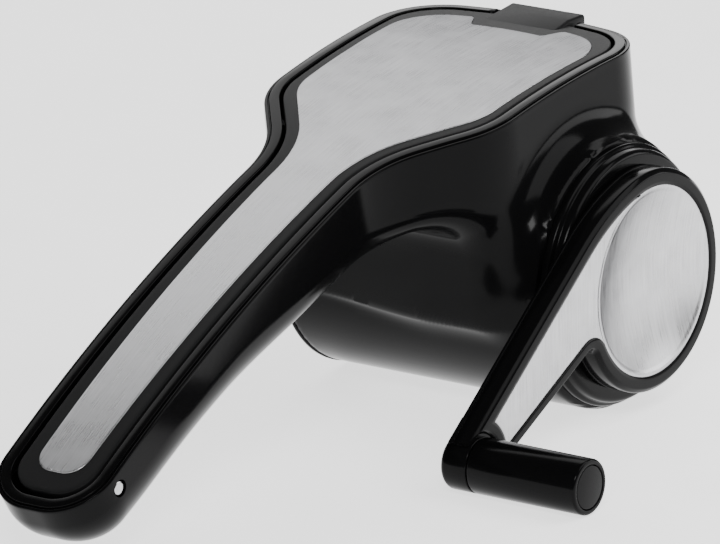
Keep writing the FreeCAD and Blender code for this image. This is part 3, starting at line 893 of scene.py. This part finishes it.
@dataclass
class Body(SubAssembly):
    """The moulded body: tub, handle and drum housing, with the side cap and the hinge pin."""

    housing_r: float = 34.9
    bore_r: float = 32.5
    left_x: float = -34.4
    right_x: float = 46.3
    depth: float = 22.0
    under_round: float = 8.5
    throat: float = 17.0
    fillet: float = 8.0
    stations: int = 300
    rows: int = 84
    pin_hole: float = 2.2
    notch_half: float = 12.0
    notch_depth: float = 3.9
    wall_radii: tuple[float, float] = (135.9, 138.3)
    wall_rise: tuple[float, float] = (9.0, 23.5)
    wall_cover: float = 1.0
    tub_cover: float = 0.6

    def field(self, p: Array) -> Array:
        """Distance field of the outside, negative inside.

        Args:
            p: points of shape (..., 3).

        Returns:
            The tub (its outline, flared below the head, over the handle's depth and the head's block,
            joined by the throat's fillet) united with the housing's cylinder by a fillet.
        """
        x, y, z = p[..., 0], p[..., 1], p[..., 2]
        v, depth = TOP.unroll(y, z)
        drop = np.clip((depth - 1.3) / 52.0, 0.0, 1.2)
        right = 3.8 * drop * smoothstep(-80.0, -40.0, y) * smoothstep(0.0, 36.0, x)
        left = smoothstep(3.0, 22.0, depth) * self.left_shift(x, y)
        plan = RIM.distance(x - right - left, v)
        front = np.maximum(-(y + self.housing_r), AXIS_Z - 6.0 - z)
        shallow = 1.4 * smoothstep(-90.0, -140.0, y) + 1.6 * smoothstep(-150.0, -178.0, y)
        lower = round_union(depth - self.depth + shallow, front, self.throat)
        tub = round_common(plan, lower, self.under_round + 4.5 * smoothstep(-75.0, -120.0, y))
        middle, half = (self.left_x + self.right_x) / 2, (self.right_x - self.left_x) / 2
        drum = round_common(np.hypot(y, z - AXIS_Z) - self.housing_r, np.abs(x - middle) - half, 1.3)
        return round_union(tub, drum, 2.0 + (self.fillet - 2.0) * smoothstep(-25.0, 15.0, x))

    @staticmethod
    def left_shift(x: Array, y: Array) -> Array:
        """How far the wall away from the crank draws in, well below the rim.

        Args:
            x: across.
            y: along.

        Returns:
            4.6 mm on the head, fading to nothing at the middle and along the handle.
        """
        return 4.6 * smoothstep(-80.0, -40.0, y) * smoothstep(0.0, -30.0, x)

    def skeleton(self, rim: Array, v: Array) -> tuple[Array, Array]:
        """Where each station's rays start, and the direction of its lowest ray.

        Args:
            rim: points on the rim, shape (n, 3).
            v: their places along the top.

        Returns:
            Start points inside the body and unit directions towards the keel, each (n, 3).
        """
        u = -v
        length = TOP.length
        knots = [0, 36, 60, 72, 80, 88, 96, 104, 112, length - 20, length]
        along = np.interp(u, knots, [30, 38, 46, 56, 67, 80, 92, 102, 111, length - 20, length - 16])
        depth = np.interp(u, knots, [38, 38, 38, 30, 22, 15, 12, 11, 11, 11, 11])
        start = TOP.place(rim[:, 0] * 0.3, -along, depth)
        stop = knots[:7]
        under = TOP.place(0.0, -np.interp(u, [96, length - 20, length], [96, length - 20, length - 16]), 22.0)
        last = under[u >= 96][0]
        keel_y = np.where(u < 96, np.interp(u, stop, [28, -5, -25, -33, -37.5, -47, last[1]]), under[:, 1])
        keel_z = np.where(u < 96, np.interp(u, stop, [6, -5, 8, 28, 43, 51, last[2]]), under[:, 2])
        aim = np.stack([0 * u, keel_y - start[:, 1], keel_z - start[:, 2]], axis=1)
        return start, aim / np.linalg.norm(aim, axis=1, keepdims=True)

    def hull(self, top_depth: float) -> Array:
        """The outside of the body from the rim down and round underneath.

        Args:
            top_depth: how far below the top curve the hull begins.

        Returns:
            Grid (stations, rows, 3). Each station fans rays from a point inside the body, from the
            right rim, round the keel and up to the left rim, and each ray stops on the distance field.
        """
        half = RIM.half(self.stations)
        right = TOP.place(half[:, 0], half[:, 1], top_depth)
        left = right * [-1.0, 1.0, 1.0]
        start, aim = self.skeleton(right, half[:, 1])
        other = start * [-1.0, 1.0, 1.0]
        sweep = np.linspace(0.0, 1.0, self.rows)[None, :, None]

        def fan(edge: Array, centre: Array) -> tuple[Array, Array]:
            """Rays that turn evenly from the rim's edge to the keel's direction.

            Args:
                edge: points on the rim.
                centre: points that the rays leave from.

            Returns:
                The rays' starts and unit directions.
            """
            first = edge - centre
            first /= np.linalg.norm(first, axis=1, keepdims=True)
            angle = np.arccos(np.clip((first * aim).sum(1), -0.9999, 0.9999))[:, None, None]
            way = np.sin((1 - sweep) * angle) * first[:, None] + np.sin(sweep * angle) * aim[:, None]
            return np.broadcast_to(centre[:, None], way.shape), way / np.sin(angle)

        begin_r, way_r = fan(right, start)
        begin_l, way_l = fan(left, other)
        mix = np.linspace(0.0, 1.0, 14)[1:-1][None, :, None]
        begin_m = start[:, None] * (1 - mix) + other[:, None] * mix
        way_m = np.broadcast_to(aim[:, None], begin_m.shape)
        begin = np.concatenate([begin_r, begin_m, begin_l[:, ::-1]], axis=1)
        way = np.concatenate([way_r, way_m, way_l[:, ::-1]], axis=1)
        reach = np.zeros(begin.shape[:2])
        for _ in range(70):
            reach = reach + np.clip(-self.field(begin + way * reach[..., None]), -2.0, 6.0) * 0.9
        grid = begin + way * reach[..., None]
        grid[:, 0], grid[:, -1] = right, left
        grid = self.settle(np.stack([even(row, grid.shape[1]) for row in grid]))
        grid[:, 0], grid[:, -1] = right, left
        grid[[0, -1], :, 0] = 0.0
        grid[..., 2] = np.maximum(grid[..., 2], 0.0)
        return grid

    def settle(self, grid: Array) -> Array:
        """Moves points onto the distance field's surface by Newton steps along its gradient.

        Args:
            grid: points near the surface.

        Returns:
            The moved points.
        """
        for _ in range(4):
            value = self.field(grid)
            slope = np.stack([self.field(grid + step) - value for step in np.eye(3) * 0.02], axis=-1) / 0.02
            size = np.maximum((slope**2).sum(-1), 0.2)
            grid = grid - slope * np.clip(value / size, -1.0, 1.0)[..., None]
        return grid

    def rim_strip(self) -> Array:
        """The rim: rounded outer edge, thin groove, flat band, and the inner wall down to the floor.

        Returns:
            Grid (stations round the whole outline, rows, 3), to be wrapped by rows.
        """
        lip = [(0.0, 1.3, 0.0), (0.0, 0.45, 0.35), (0.85, 0.45, 0.12), (0.95, 0.95, 0.1), (1.2, 0.95, 0.1)]
        band = [(1.3, 0.0, 0.22), (INSET, 0.0, 0.35), (INSET, 5.0, 0.0), (INSET, CHANNEL, 0.0)]
        profile = softened([*lip, *band])
        half = np.stack([RIM.half(self.stations, inset) for inset in profile[:, 0]], axis=1)
        depth = np.broadcast_to(profile[:, 1], half.shape[:2]).copy()
        top = TOP.place(0.0, half[:, -1, 1], 0.0)
        bore = AXIS_Z + np.sqrt(np.maximum(self.bore_r**2 - top[:, 1] ** 2, 0.0))
        drop = (top[:, 2] - bore) * np.cos(TOP.turn(half[:, -1, 1]))
        depth[:, -1] = np.where(top[:, 1] > -37.0, drop, CHANNEL)
        grid = TOP.place(half[..., 0], half[..., 1], depth)
        other = grid[-2:0:-1] * [-1.0, 1.0, 1.0]
        other[:, -1, 0] += self.left_shift(other[:, -1, 0], other[:, -1, 1])
        whole = np.concatenate([grid, other])
        whole[:, -1] = self.within(whole[:, -2], whole[:, -1], self.tub_cover)
        return self.notched(whole)

    def notched(self, grid: Array) -> Array:
        """Lowers the rim's far edge where the thumb tab passes over it.

        Args:
            grid: points of the rim.

        Returns:
            The points, none higher than the notch's floor inside its width.
        """
        inside = smoothstep(self.notch_half + 0.6, self.notch_half, np.abs(grid[..., 0]))
        depth = self.notch_depth * inside * (grid[..., 1] > 20.0)
        grid[..., 2] = np.minimum(grid[..., 2], TOP.height - depth)
        return grid

    def pinched(self, grid: Array) -> Array:
        """Gathers points onto the edge of the hole round the hinge pin.

        Args:
            grid: points of the outside.

        Returns:
            The points, those within half a step of the hole's edge moved square onto it.
        """
        dy, dz = grid[..., 1] - PIN[1], grid[..., 2] - PIN[2]
        off = np.hypot(dy, dz)
        near = (np.abs(off - self.pin_hole) < 0.5) & (np.abs(grid[..., 0]) > 14.0)
        scale = np.where(near, self.pin_hole / np.maximum(off, 1e-6), 1.0)
        grid[..., 1] = PIN[1] + dy * scale
        grid[..., 2] = PIN[2] + dz * scale
        return grid

    def within(self, start: Array, stop: Array, cover: float) -> Array:
        """Shortens straight runs so that they stay under the outer skin.

        Args:
            start: where each run begins, inside the body, shape (n, 3).
            stop: where each run would end.
            cover: how far under the skin they stay.

        Returns:
            The last point of each run before it first comes closer to the skin than the cover.
        """
        run = start + (stop - start) * np.linspace(0.0, 1.0, 240)[:, None, None]
        inside = np.cumprod(self.field(run) < -cover, axis=0).sum(axis=0)
        return run[np.maximum(inside - 1, 0), np.arange(len(start))]

    def inner(self, skin: Skin) -> None:
        """Adds the handle's floor, the partition and the drum's bore.

        Args:
            skin: where the surfaces go.
        """
        half = RIM.half(self.stations, INSET)
        half = half[half[:, 1] < -78.0]
        mix = np.linspace(-1.0, 1.0, 16)[None, :]
        v = np.broadcast_to(half[:, 1:2], (len(half), 16))
        skin.add(TOP.place(half[:, :1] * mix, v, CHANNEL), flip=True)
        low, high = (math.radians(a) for a in self.wall_rise)
        near, far = (circle(PIN[1:], r, low, high, 14) for r in self.wall_radii)
        loop = np.concatenate([near, far[::-1]])
        loop[:, 1] = np.minimum(loop[:, 1], TOP.place(0.0, TOP.unroll(loop[:, 0], loop[:, 1])[0], 5.0)[:, 2])
        rim = RIM.half(self.stations, 4.4)[::-1]
        reach = np.interp(TOP.unroll(loop[:, 0], loop[:, 1])[0], rim[:, 1], rim[:, 0])
        middle = np.stack([0 * reach, loop[:, 0], loop[:, 1]], axis=1)
        side = np.stack([reach, 0 * reach, 0 * reach], axis=1)
        left, right = (self.within(middle, middle + turn * side, self.wall_cover) for turn in (-1.0, 1.0))
        wall = left + (right - left) * np.linspace(0.0, 1.0, 9)[:, None, None]
        skin.add(wall, wrap_cols=True, flip=True)
        for first, last, x0 in ((165.0, 360.0, self.left_x + 0.3), (0.0, 180.0, 33.9)):
            turn = np.radians(np.linspace(first, last, 90))[None, :]
            span = np.linspace(x0, self.right_x, 12)[:, None]
            y, z = self.bore_r * np.cos(turn), AXIS_Z + self.bore_r * np.sin(turn)
            skin.add(np.stack([span + 0 * turn, y + 0 * span, z + 0 * span], axis=-1), flip=True)

    def build(self) -> list[Piece]:
        """Makes the body shell, the side cap and the hinge pin.

        Returns:
            The pieces.
        """
        skin = Skin("body_shell")
        hull = self.hull(1.3)
        strip = self.rim_strip()
        low = self.pinched(self.notched(hull.copy()))
        middle = (low[:-1, :-1] + low[1:, :-1] + low[1:, 1:] + low[:-1, 1:]) / 4
        ring = np.hypot(middle[..., 1], middle[..., 2] - AXIS_Z)
        hole = np.hypot(middle[..., 1] - PIN[1], middle[..., 2] - PIN[2]) < self.pin_hole
        hole &= np.abs(middle[..., 0]) > 14.0
        keep = ~((ring < 33.7) & (middle[..., 0] < self.left_x + 2.5)) & ~hole
        skin.add(low, keep=keep, flip=True)
        skin.add(strip, wrap_rows=True)
        self.inner(skin)
        front = [(-33.2, 34.7, 0), (-33.4, 35.1, 0.2), (-34.4, 35.1, 0.5)]
        lip = softened([*front, (-34.4, 32.5, 0.4), (-33.0, 32.5, 0.2), (-33.2, 34.7, 0)])
        ring = spin(lip, 0.0, AXIS_Z, 160)
        ring[..., 2] = np.maximum(ring[..., 2], 0.0)
        skin.add(ring, wrap_cols=True, flip=True)
        well = np.array([(16.55, self.pin_hole), (14.7, self.pin_hole), (14.7, 0.0)])
        for side in (-1.0, 1.0):
            skin.add(spin(well * [side, 1.0], PIN[1], PIN[2], 40), wrap_cols=True, flip=side < 0)
        shell = skin.build(closed=False, sharp=38.0)
        neck = [(41.2, 11.0, 0), (41.2, 32.3, 0), (46.2, 32.3, 0), (46.2, 33.7, 0.3), (48.1, 33.7, 0.9)]
        cap = softened([*neck, (48.7, 32.6, 0.6), (51.1, 32.2, 1.5), (51.1, 11.0, 0.3), (41.2, 11.0, 0)])
        cover = lathe("side_cover", cap, 0.0, AXIS_Z, 160)
        rod = softened([(-16.3, 0.0, 0), (-16.3, 1.85, 0.5), (16.3, 1.85, 0.5), (16.3, 0.0, 0)])
        bar = lathe("hinge_rod", rod, PIN[1], PIN[2], 32)
        return [
            Piece(shell, "grater_body", ("body",), Finish.GLOSS),
            Piece(cover, "grater_body", ("side_cap",), Finish.GLOSS),
            Piece(bar, "grater_body", ("hinge_pin",), Finish.BRIGHT),
        ]


# ---- pressing arm


@dataclass
class PressingArm(SubAssembly):
    """The hinged arm: moulded plate with its thumb tab, and the brushed plate let into it."""

    edge: float = 4.8
    tab_half: float = 11.5
    tab_low: tuple[float, float] = (24.0, 84.3)
    tab_high: tuple[float, float] = (38.6, 89.0)
    barrel_half: float = 10.1
    rib_x: float = 5.5
    rib_half: float = 0.8
    rib_depth: tuple[float, float] = (3.0, 8.6)
    rib_end: float = -85.0

    def build(self) -> list[Piece]:
        """Makes the arm and its steel plate.

        Returns:
            The pieces.
        """
        side = softened([(5.2, 3.9, 0), (self.edge, 3.6, 0.3), (self.edge, 0.25, 0.45), (6.2, 0.25, 0)])
        arm = Skin("arm_plate")
        grid, flat = plate(ARM, side, 300)
        arm.add(grid, wrap_cols=True, uv=flat)
        tab = block((-self.tab_half, *self.tab_low), (self.tab_half, *self.tab_high), 0.9)
        tab[..., 2] -= 1.4 * smoothstep(31.0, 24.5, tab[..., 1]) * (tab[..., 2] > 86.0)
        arm.add(tab, wrap_cols=True)
        half, bore, rim = self.barrel_half, 1.9, 4.2
        ends = [(-half, bore, 0), (-half, rim, 0.4), (half, rim, 0.4), (half, bore, 0)]
        barrel = softened([*ends, ends[0]])
        arm.add(spin(barrel, PIN[1], PIN[2], 48), wrap_cols=True)
        v = PIN_V + (self.rib_end - PIN_V) * np.linspace(0.0, 1.0, 60)[:, None]
        depth = np.repeat(self.rib_depth, 2)[None, :]
        for x in (-self.rib_x, self.rib_x):
            across = np.array([-1.0, 1.0, 1.0, -1.0])[None, :] * self.rib_half + x
            arm.add(TOP.place(across, v, depth), wrap_cols=True)
        steel = softened([(0.5, 0.6, 0), (0.0, 0.6, 0.02), (0.0, 0.05, 0.2), (0.5, 0.05, 0)])
        sheet, sheet_flat = plate(SHEET, steel, 300, dip=6.2, across=40)
        inlay = Skin("arm_sheet").add(sheet, wrap_cols=True, uv=sheet_flat)
        return [
            Piece(arm.build(), "pressing_arm", ("lid",), Finish.SATIN),
            Piece(inlay.build(), "pressing_arm", ("lid_inlay",), Finish.BRUSHED),
        ]


# ---- crank


UPPER = np.array([[-0.292, 0.9564], [0.9564, 0.292]])
LOWER = np.array([[0.1132, -0.9936], [0.9936, 0.1132]])


@dataclass
class Crank(SubAssembly):
    """The crank: black shell, dished steel plate, back cover with hub, and the drum that it turns."""

    disc_r: float = 24.6
    dish_r: float = 24.0
    dish_depth: float = 4.8
    front_x: float = 58.4
    floor_x: float = 52.9
    back_x: float = 51.8
    reach: float = 81.2
    drop: float = math.radians(19.8)
    drum_r: float = 30.6
    around: int = 30
    along: int = 12
    scoop: float = 0.8

    def outline(self, grow: float) -> list[Array]:
        """The crank's front outline, drawn with the arm level along -Y, about the drum's axis.

        UPPER and LOWER hold the outward normal and the direction of the arm's two straight edges.

        Args:
            grow: how far the outline stands outside the steel plate's.

        Returns:
            Points in (y, z) of five runs, anticlockwise: upper edge, tip, lower edge, hollow and disc.
        """
        r, big = self.disc_r + grow, 60.0 + grow
        (n_up, d_up), (n_low, d_low) = UPPER, LOWER
        c_up = 27.49 + grow
        spread = math.sqrt((c_up - r) * (2 * big - r - c_up))
        q = n_up * (c_up - big) - d_up * spread
        touch = -q / np.linalg.norm(q) * r
        bow = circle(q, big, heading(touch - q), heading(n_up), 18)
        c_low = float(n_low @ [-32.62, 2.34]) + grow * 0.8
        fillet = max(7.0 - grow, 2.4)
        t = -math.sqrt((r + fillet) ** 2 - (c_low + fillet) ** 2)
        f = n_low * (c_low + fillet) + d_low * t
        knob = np.array([-self.reach, 0.0])
        cut = 11.3 - 0.86 * grow
        ends = []
        for normal, along, c in ((n_up, d_up, c_up), (n_low, d_low, c_low)):
            off = c - normal @ knob
            ends.append(normal * c + along * (along @ knob + math.sqrt(max(cut**2 - off**2, 0.0))))
        up_end, low_end = ends
        mix = np.linspace(0, 1, 40)[:, None]
        upper = np.concatenate([bow, bow[-1] * (1 - mix[1:]) + up_end * mix[1:]])
        tip = circle(knob, cut, heading(up_end - knob), heading(low_end - knob), 14)
        lower = low_end * (1 - mix) + (n_low * c_low + d_low * t) * mix
        hollow = circle(f, fillet, heading(-n_low), heading(-f), 20)
        whole = 2 * math.pi
        disc = circle(0.0, r, heading(f) % whole, heading(touch) % whole + whole, 150)
        return [upper, tip[1:-1], lower, hollow[1:-1], disc[:-1]]

    def turned(self, x: Array, flat: Array) -> Array:
        """Places points of the front view in the part, at the crank's rest angle.

        Args:
            x: along the axis.
            flat: (y, z) about the drum's axis with the arm level.

        Returns:
            Points of shape (..., 3).
        """
        c, s = math.cos(self.drop), math.sin(self.drop)
        y, z = flat[..., 0], flat[..., 1]
        x = np.broadcast_to(x, y.shape)
        return np.stack([x, y * c - z * s, AXIS_Z + y * s + z * c], axis=-1)

    def shell(self) -> bpy.types.Object:
        """The black front shell and back cover round the steel plate.

        Returns:
            One object: the border's profile carried round the outline, closed behind.
        """
        back, low, top = self.back_x, self.floor_x, self.front_x
        inside = [(0.05, low, 0), (0.05, top - 0.2, 0.1), (0.9, top, 0.5), (3.0, top, 0.7)]
        seam = [(4.2, low + 0.3, 0.15), (3.9, low + 0.2, 0.05), (3.9, low, 0.05), (4.2, low - 0.1, 0.15)]
        profile = softened([*inside, (4.2, top - 0.9, 1.0), *seam, (4.2, back, 0.4), (3.0, back, 0)], 4)
        loops = [np.concatenate(self.outline(grow)) for grow in profile[:, 0]]
        grid = np.stack([self.turned(x, loop) for x, loop in zip(profile[:, 1], loops)], axis=0)
        skin = Skin("crank_shell")
        skin.add(grid, wrap_cols=True, flip=True)
        skin.add(np.stack([self.turned(self.back_x, loop) for loop in self.fill(3.0)]), flip=True)
        skin.add(np.stack([self.turned(self.floor_x, loop) for loop in self.fill(0.05)]))
        return skin.build(closed=False)

    def fill(self, grow: float, rows: int = 16) -> Array:
        """Rows of points that cover the inside of the outline.

        Args:
            grow: which outline.
            rows: number of rows.

        Returns:
            Points (rows, n, 2): upper edge and far half of the disc, joined straight across to the
            lower edge and near half of the disc.
        """
        upper, tip, lower, hollow, disc = self.outline(grow)
        half = len(disc) // 2
        above = np.concatenate([disc[half:], upper, tip[: len(tip) // 2]])
        below = np.concatenate([tip[len(tip) // 2 :], lower, hollow, disc[: half + 1]])[::-1]
        mix = np.linspace(0, 1, rows)[:, None, None]
        return even(above, 240)[None] * (1 - mix) + even(below, 240)[None] * mix

    def sheet(self) -> bpy.types.Object:
        """The steel plate: a flat arm and a bowl.

        Returns:
            One object, its bowl a sphere's cap that meets the flat at a soft edge.
        """
        upper, tip, lower, hollow, disc = self.outline(0.0)
        skin = Skin("crank_sheet")
        front = self.front_x - 0.25
        turn = np.linspace(0, 2 * math.pi, 181)
        edge = self.dish_r + np.linspace(-2.6, 0.6, 16)
        rings = np.concatenate([np.linspace(0.0, self.dish_r - 2.8, 26), edge])
        big = (self.dish_r**2 + self.dish_depth**2) / (2 * self.dish_depth)
        bowl = np.sqrt(big**2 - rings**2) - (big - self.dish_depth)
        sink = (bowl + np.hypot(bowl, 0.45)) / 2 * smoothstep(self.dish_r + 0.6, self.dish_r - 1.2, rings)
        flat = np.stack([rings[:, None] * np.cos(turn), rings[:, None] * np.sin(turn)], axis=-1)
        bowl_grid = self.turned((front - sink)[:, None], flat)
        skin.add(bowl_grid, uv=bowl_grid[..., 1:], flip=True)
        n = 60
        inner = circle(0.0, self.disc_r, heading(upper[0]), heading(disc[0]) % (2 * math.pi), n)
        tip_line = np.concatenate([upper[-1:], tip, lower[:1]])
        s = np.linspace(0, 1, len(tip_line))
        outer = np.stack([np.interp(np.linspace(0, 1, n), s, column) for column in tip_line.T], axis=1)
        top_edge, low_edge = even(upper, n), even(np.concatenate([lower, hollow])[::-1], n)
        s = np.linspace(0, 1, n)[:, None, None]
        t = s.reshape(1, n, 1)
        patch = (1 - s) * inner[None] + s * outer[None] + (1 - t) * top_edge[:, None] + t * low_edge[:, None]
        patch -= (1 - s) * ((1 - t) * inner[0] + t * inner[-1]) + s * ((1 - t) * outer[0] + t * outer[-1])
        arm_grid = self.turned(front, relaxed(patch))
        skin.add(arm_grid, uv=arm_grid[..., 1:], flip=True)
        return thicken(skin.build(closed=False), 0.3)

    def back(self) -> Skin:
        """The back cover's hub and the boss that carries the knob.

        Returns:
            A skin with both.
        """
        c, s = math.cos(self.drop), math.sin(self.drop)
        y, z = -self.reach * c, AXIS_Z - self.reach * s
        skin = Skin("crank_cover")
        low, top = 50.3, self.front_x
        boss = softened([(low, 0.0, 0), (low, 7.1, 1.8), (top, 7.1, 0.3), (top, 2.6, 0), (top, 0.0, 0)], 8)
        skin.add(spin(boss, y, z, 72), wrap_cols=True)
        hub = softened([(41.0, 0.0, 0), (41.0, 9.1, 0.4), (52.3, 9.1, 0), (52.3, 0.0, 0)])
        skin.add(spin(hub, 0.0, AXIS_Z, 72), wrap_cols=True)
        upper = np.array([(31.6, -77.7), (31.6, -70.0)]) @ UPPER
        lower = np.array([(-2.72, -72.0), (-2.72, -80.7)]) @ LOWER
        corners = np.concatenate([upper, lower])
        slab = np.stack([self.turned(x, corners) for x in (self.back_x, 57.5)])
        lid = slab.mean(axis=1, keepdims=True)
        grid = np.concatenate([np.repeat(lid[:1], 4, axis=1), slab, np.repeat(lid[1:], 4, axis=1)])
        skin.add(grid, wrap_cols=True)
        return skin

    def drum(self) -> bpy.types.Object:
        """The grating drum's sheet, raised in rows of scoops that open on one side.

        Returns:
            The object: each cell is flat at its edges and swells towards a straight lip, where the
            surface drops back to the sheet and leaves the cut open.
        """
        around, along = self.around, self.along
        a = np.linspace(0.0, 1.0, 9)
        b = np.array([0.0, 0.2, 0.34, 0.48, 0.6, 0.600001, 0.8, 1.0])
        swell = np.maximum(np.sin(np.clip((a - 0.14) / 0.72, 0, 1) * math.pi), 0.0) ** 0.8
        ramp = np.where(b <= 0.6, smoothstep(0.1, 0.6, b), 0.0)
        height = self.scoop * swell[:, None] * ramp[None, :]
        pitch = 66.0 / along
        x = (np.arange(along)[:, None] + a[None, :]) * pitch - 30.3
        shift = (np.arange(along) % 2)[:, None, None] * 0.5
        turn = (np.arange(around)[None, :, None] + b[None, None, :] + shift) * (2 * math.pi / around)
        r = self.drum_r - 0.25 + height
        skin = Skin("drum_sheet_cut")
        for i in range(along):
            angle = np.broadcast_to(turn[i][:, None, :], (around, len(a), len(b)))
            radius = np.broadcast_to(r[None], angle.shape)
            place = np.broadcast_to(x[i][None, :, None], angle.shape)
            grid = np.stack([place, radius * np.cos(angle), AXIS_Z + radius * np.sin(angle)], axis=-1)
            grid = grid.transpose(1, 0, 2, 3).reshape(len(a), around * len(b), 3)
            keep = np.ones((len(a) - 1, around * len(b)), bool)
            keep[:, 4 :: len(b)] = False
            skin.add(grid, wrap_cols=True, keep=keep)
        return thicken(skin.build(closed=False), 0.4)

    def build(self) -> list[Piece]:
        """Makes the crank's pieces and the drum.

        Returns:
            The pieces.
        """
        left, right, bore, rim = -33.8, -28.9, 28.4, 31.4
        ends = [(left, bore, 0), (left, rim, 0.5), (right, rim, 0.5), (right, bore, 0.4)]
        ring = softened([*ends, ends[0]])
        ring_obj = lathe("drum_mouth", ring, 0.0, AXIS_Z)
        return [
            Piece(self.shell(), "crank", ("crank_front",), Finish.GLOSS),
            Piece(self.back().build(), "crank", ("crank_back",), Finish.GLOSS),
            Piece(self.sheet(), "crank", ("crank_inlay",), Finish.BRUSHED),
            Piece(self.drum(), "crank", ("drum_sheet",), Finish.BRIGHT),
            Piece(ring_obj, "crank", ("drum_ring",), Finish.SATIN),
        ]


@dataclass
class Knob(SubAssembly):
    """The turning grip with its end cap."""

    radius: float = 7.1
    start: float = 58.75
    end: float = 90.8

    def build(self) -> list[Piece]:
        """Makes the grip and its cap.

        Returns:
            The pieces.
        """
        crank = Crank()
        y = -crank.reach * math.cos(crank.drop)
        z = AXIS_Z - crank.reach * math.sin(crank.drop)
        a, b, r = self.start, self.end, self.radius
        mouth = [(b, 5.75, 0.15), (b - 0.35, 5.65, 0.05), (b - 1.5, 5.6, 0), (b - 5.0, 2.6, 0)]
        grip = softened([(a, 2.6, 0), (a, r, 0.35), (b, r, 0.7), *mouth, (a, 2.6, 0)])
        cap = softened([(b - 1.4, 0.0, 0), (b - 1.4, 5.5, 0), (b - 0.1, 5.5, 0.25), (b - 0.1, 0.0, 0)])
        grip_obj = lathe("knob_barrel", grip, y, z, 96)
        cap_obj = lathe("knob_plug", cap, y, z, 96)
        return [
            Piece(grip_obj, "knob", ("knob_grip",), Finish.GLOSS),
            Piece(cap_obj, "knob", ("knob_cap",), Finish.GLOSS),
        ]


# ---- studio


@dataclass(frozen=True)
class SoftBox:
    """One soft light."""

    name: str
    place: tuple[float, float, float]
    target: tuple[float, float, float]
    size: tuple[float, float]
    power: float

    def make(self) -> None:
        """Adds the light to the scene."""
        data = bpy.data.lights.new(self.name, "AREA")
        data.shape = "RECTANGLE"
        data.size, data.size_y = self.size
        data.energy = self.power
        obj = bpy.data.objects.new(self.name, data)
        place, target = np.array(self.place), np.array(self.target)
        back = place - target
        back /= np.linalg.norm(back)
        side = np.cross([0.0, 0.0, 1.0], back)
        side /= np.linalg.norm(side)
        up = np.cross(back, side)
        stand(obj, np.stack([side, up, back]), place)


@dataclass(frozen=True)
class Studio:
    """The pale floor, the soft lights and the camera."""

    azimuth: float = math.radians(36.5365)
    elevation: float = math.radians(16.8859)
    roll: float = math.radians(-1.3591)
    lens: float = 418.23
    offset: tuple[float, float, float] = (0.047096, 0.066460, 2.151601)
    shift: tuple[float, float, float] = (0.0, 0.03586, 0.0881)
    glow: float = 1.6

    def camera(self) -> None:
        """Places the camera."""
        ca, sa = math.cos(self.azimuth), math.sin(self.azimuth)
        ce, se = math.cos(self.elevation), math.sin(self.elevation)
        right = np.array([ca, sa, 0.0])
        ahead = np.array([-sa * ce, ca * ce, -se])
        up = np.cross(right, ahead)
        c, s = math.cos(self.roll), math.sin(self.roll)
        axes = np.stack([c * right + s * up, -s * right + c * up, ahead])
        place = -axes.T @ np.array(self.offset) + np.array(self.shift)
        data = bpy.data.cameras.new("camera")
        data.lens, data.sensor_width = self.lens, 36.0
        data.clip_start, data.clip_end = 0.1, 20.0
        obj = bpy.data.objects.new("camera", data)
        stand(obj, np.stack([axes[0], axes[1], -axes[2]]), place)
        bpy.context.scene.camera = obj

    def floor(self) -> None:
        """Lays the pale floor."""
        side = np.linspace(-6000.0, 6000.0, 13)
        x, y = np.meshgrid(side, side, indexing="ij")
        grid = np.stack([x, y, 0 * x - 0.05], axis=-1)
        obj = Skin("floor").add(grid, flip=True).build(closed=False)
        mat = Plastic((0.8, 0.8, 0.8), 0.9, grain=30.0, ripple=0.0, specular=0.1).make("floor")
        shader = mat.node_tree.nodes["Principled BSDF"]
        shader.inputs["Emission Color"].default_value = (1.0, 1.0, 1.0, 1.0)
        shader.inputs["Emission Strength"].default_value = self.glow
        obj.data.materials.append(mat)

    def build(self) -> None:
        """Sets up the floor, the lights, the surroundings and the camera."""
        self.floor()
        world = bpy.data.worlds.new("studio")
        world.use_nodes = True
        sky = world.node_tree.nodes["Background"]
        sky.inputs["Color"].default_value = (1.0, 1.0, 1.0, 1.0)
        sky.inputs["Strength"].default_value = 0.16
        bpy.context.scene.world = world
        for box in (
            SoftBox("key", (-0.95, 0.85, 1.05), (0.0, -0.05, 0.05), (1.6, 1.2), 12.5),
            SoftBox("back", (-1.2, 1.5, 0.7), (0.0, -0.05, 0.05), (1.4, 0.8), 4.0),
            SoftBox("side", (1.1, 1.2, 0.42), (0.05, 0.0, 0.03), (1.0, 0.5), 7.0),
            SoftBox("patch", (0.30, 0.07, 0.30), (0.26, 0.06, 0.0), (0.3, 0.3), 0.9),
            SoftBox("near", (0.9, -1.3, 1.3), (0.0, -0.05, 0.05), (0.6, 0.4), 14.0),
        ):
            box.make()
        self.camera()


# ---- scene

CARRIED = {
    Finish.WHITE: ("hub_bush",),
    Finish.SATIN: ("pressing_foot", "drum_end"),
    Finish.BRIGHT: ("foot_screws", "drive_shaft", "shaft_screw", "crank_screws", "knob_axle", "knob_washer"),
    Finish.FILM: ("lid_adhesive", "crank_adhesive"),
}


def main() -> None:
    """Builds the whole scene."""
    logging.basicConfig(level=logging.INFO, format="%(name)s %(message)s")
    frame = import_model()
    palette = Palette()
    for finish, names in CARRIED.items():
        for name in names:
            palette.put(frame["nodes"][name], finish)
    for group in (Body(), PressingArm(), Crank(), Knob()):
        group.dress(palette)
    Studio().build()


if __name__ == "__main__":
    main()
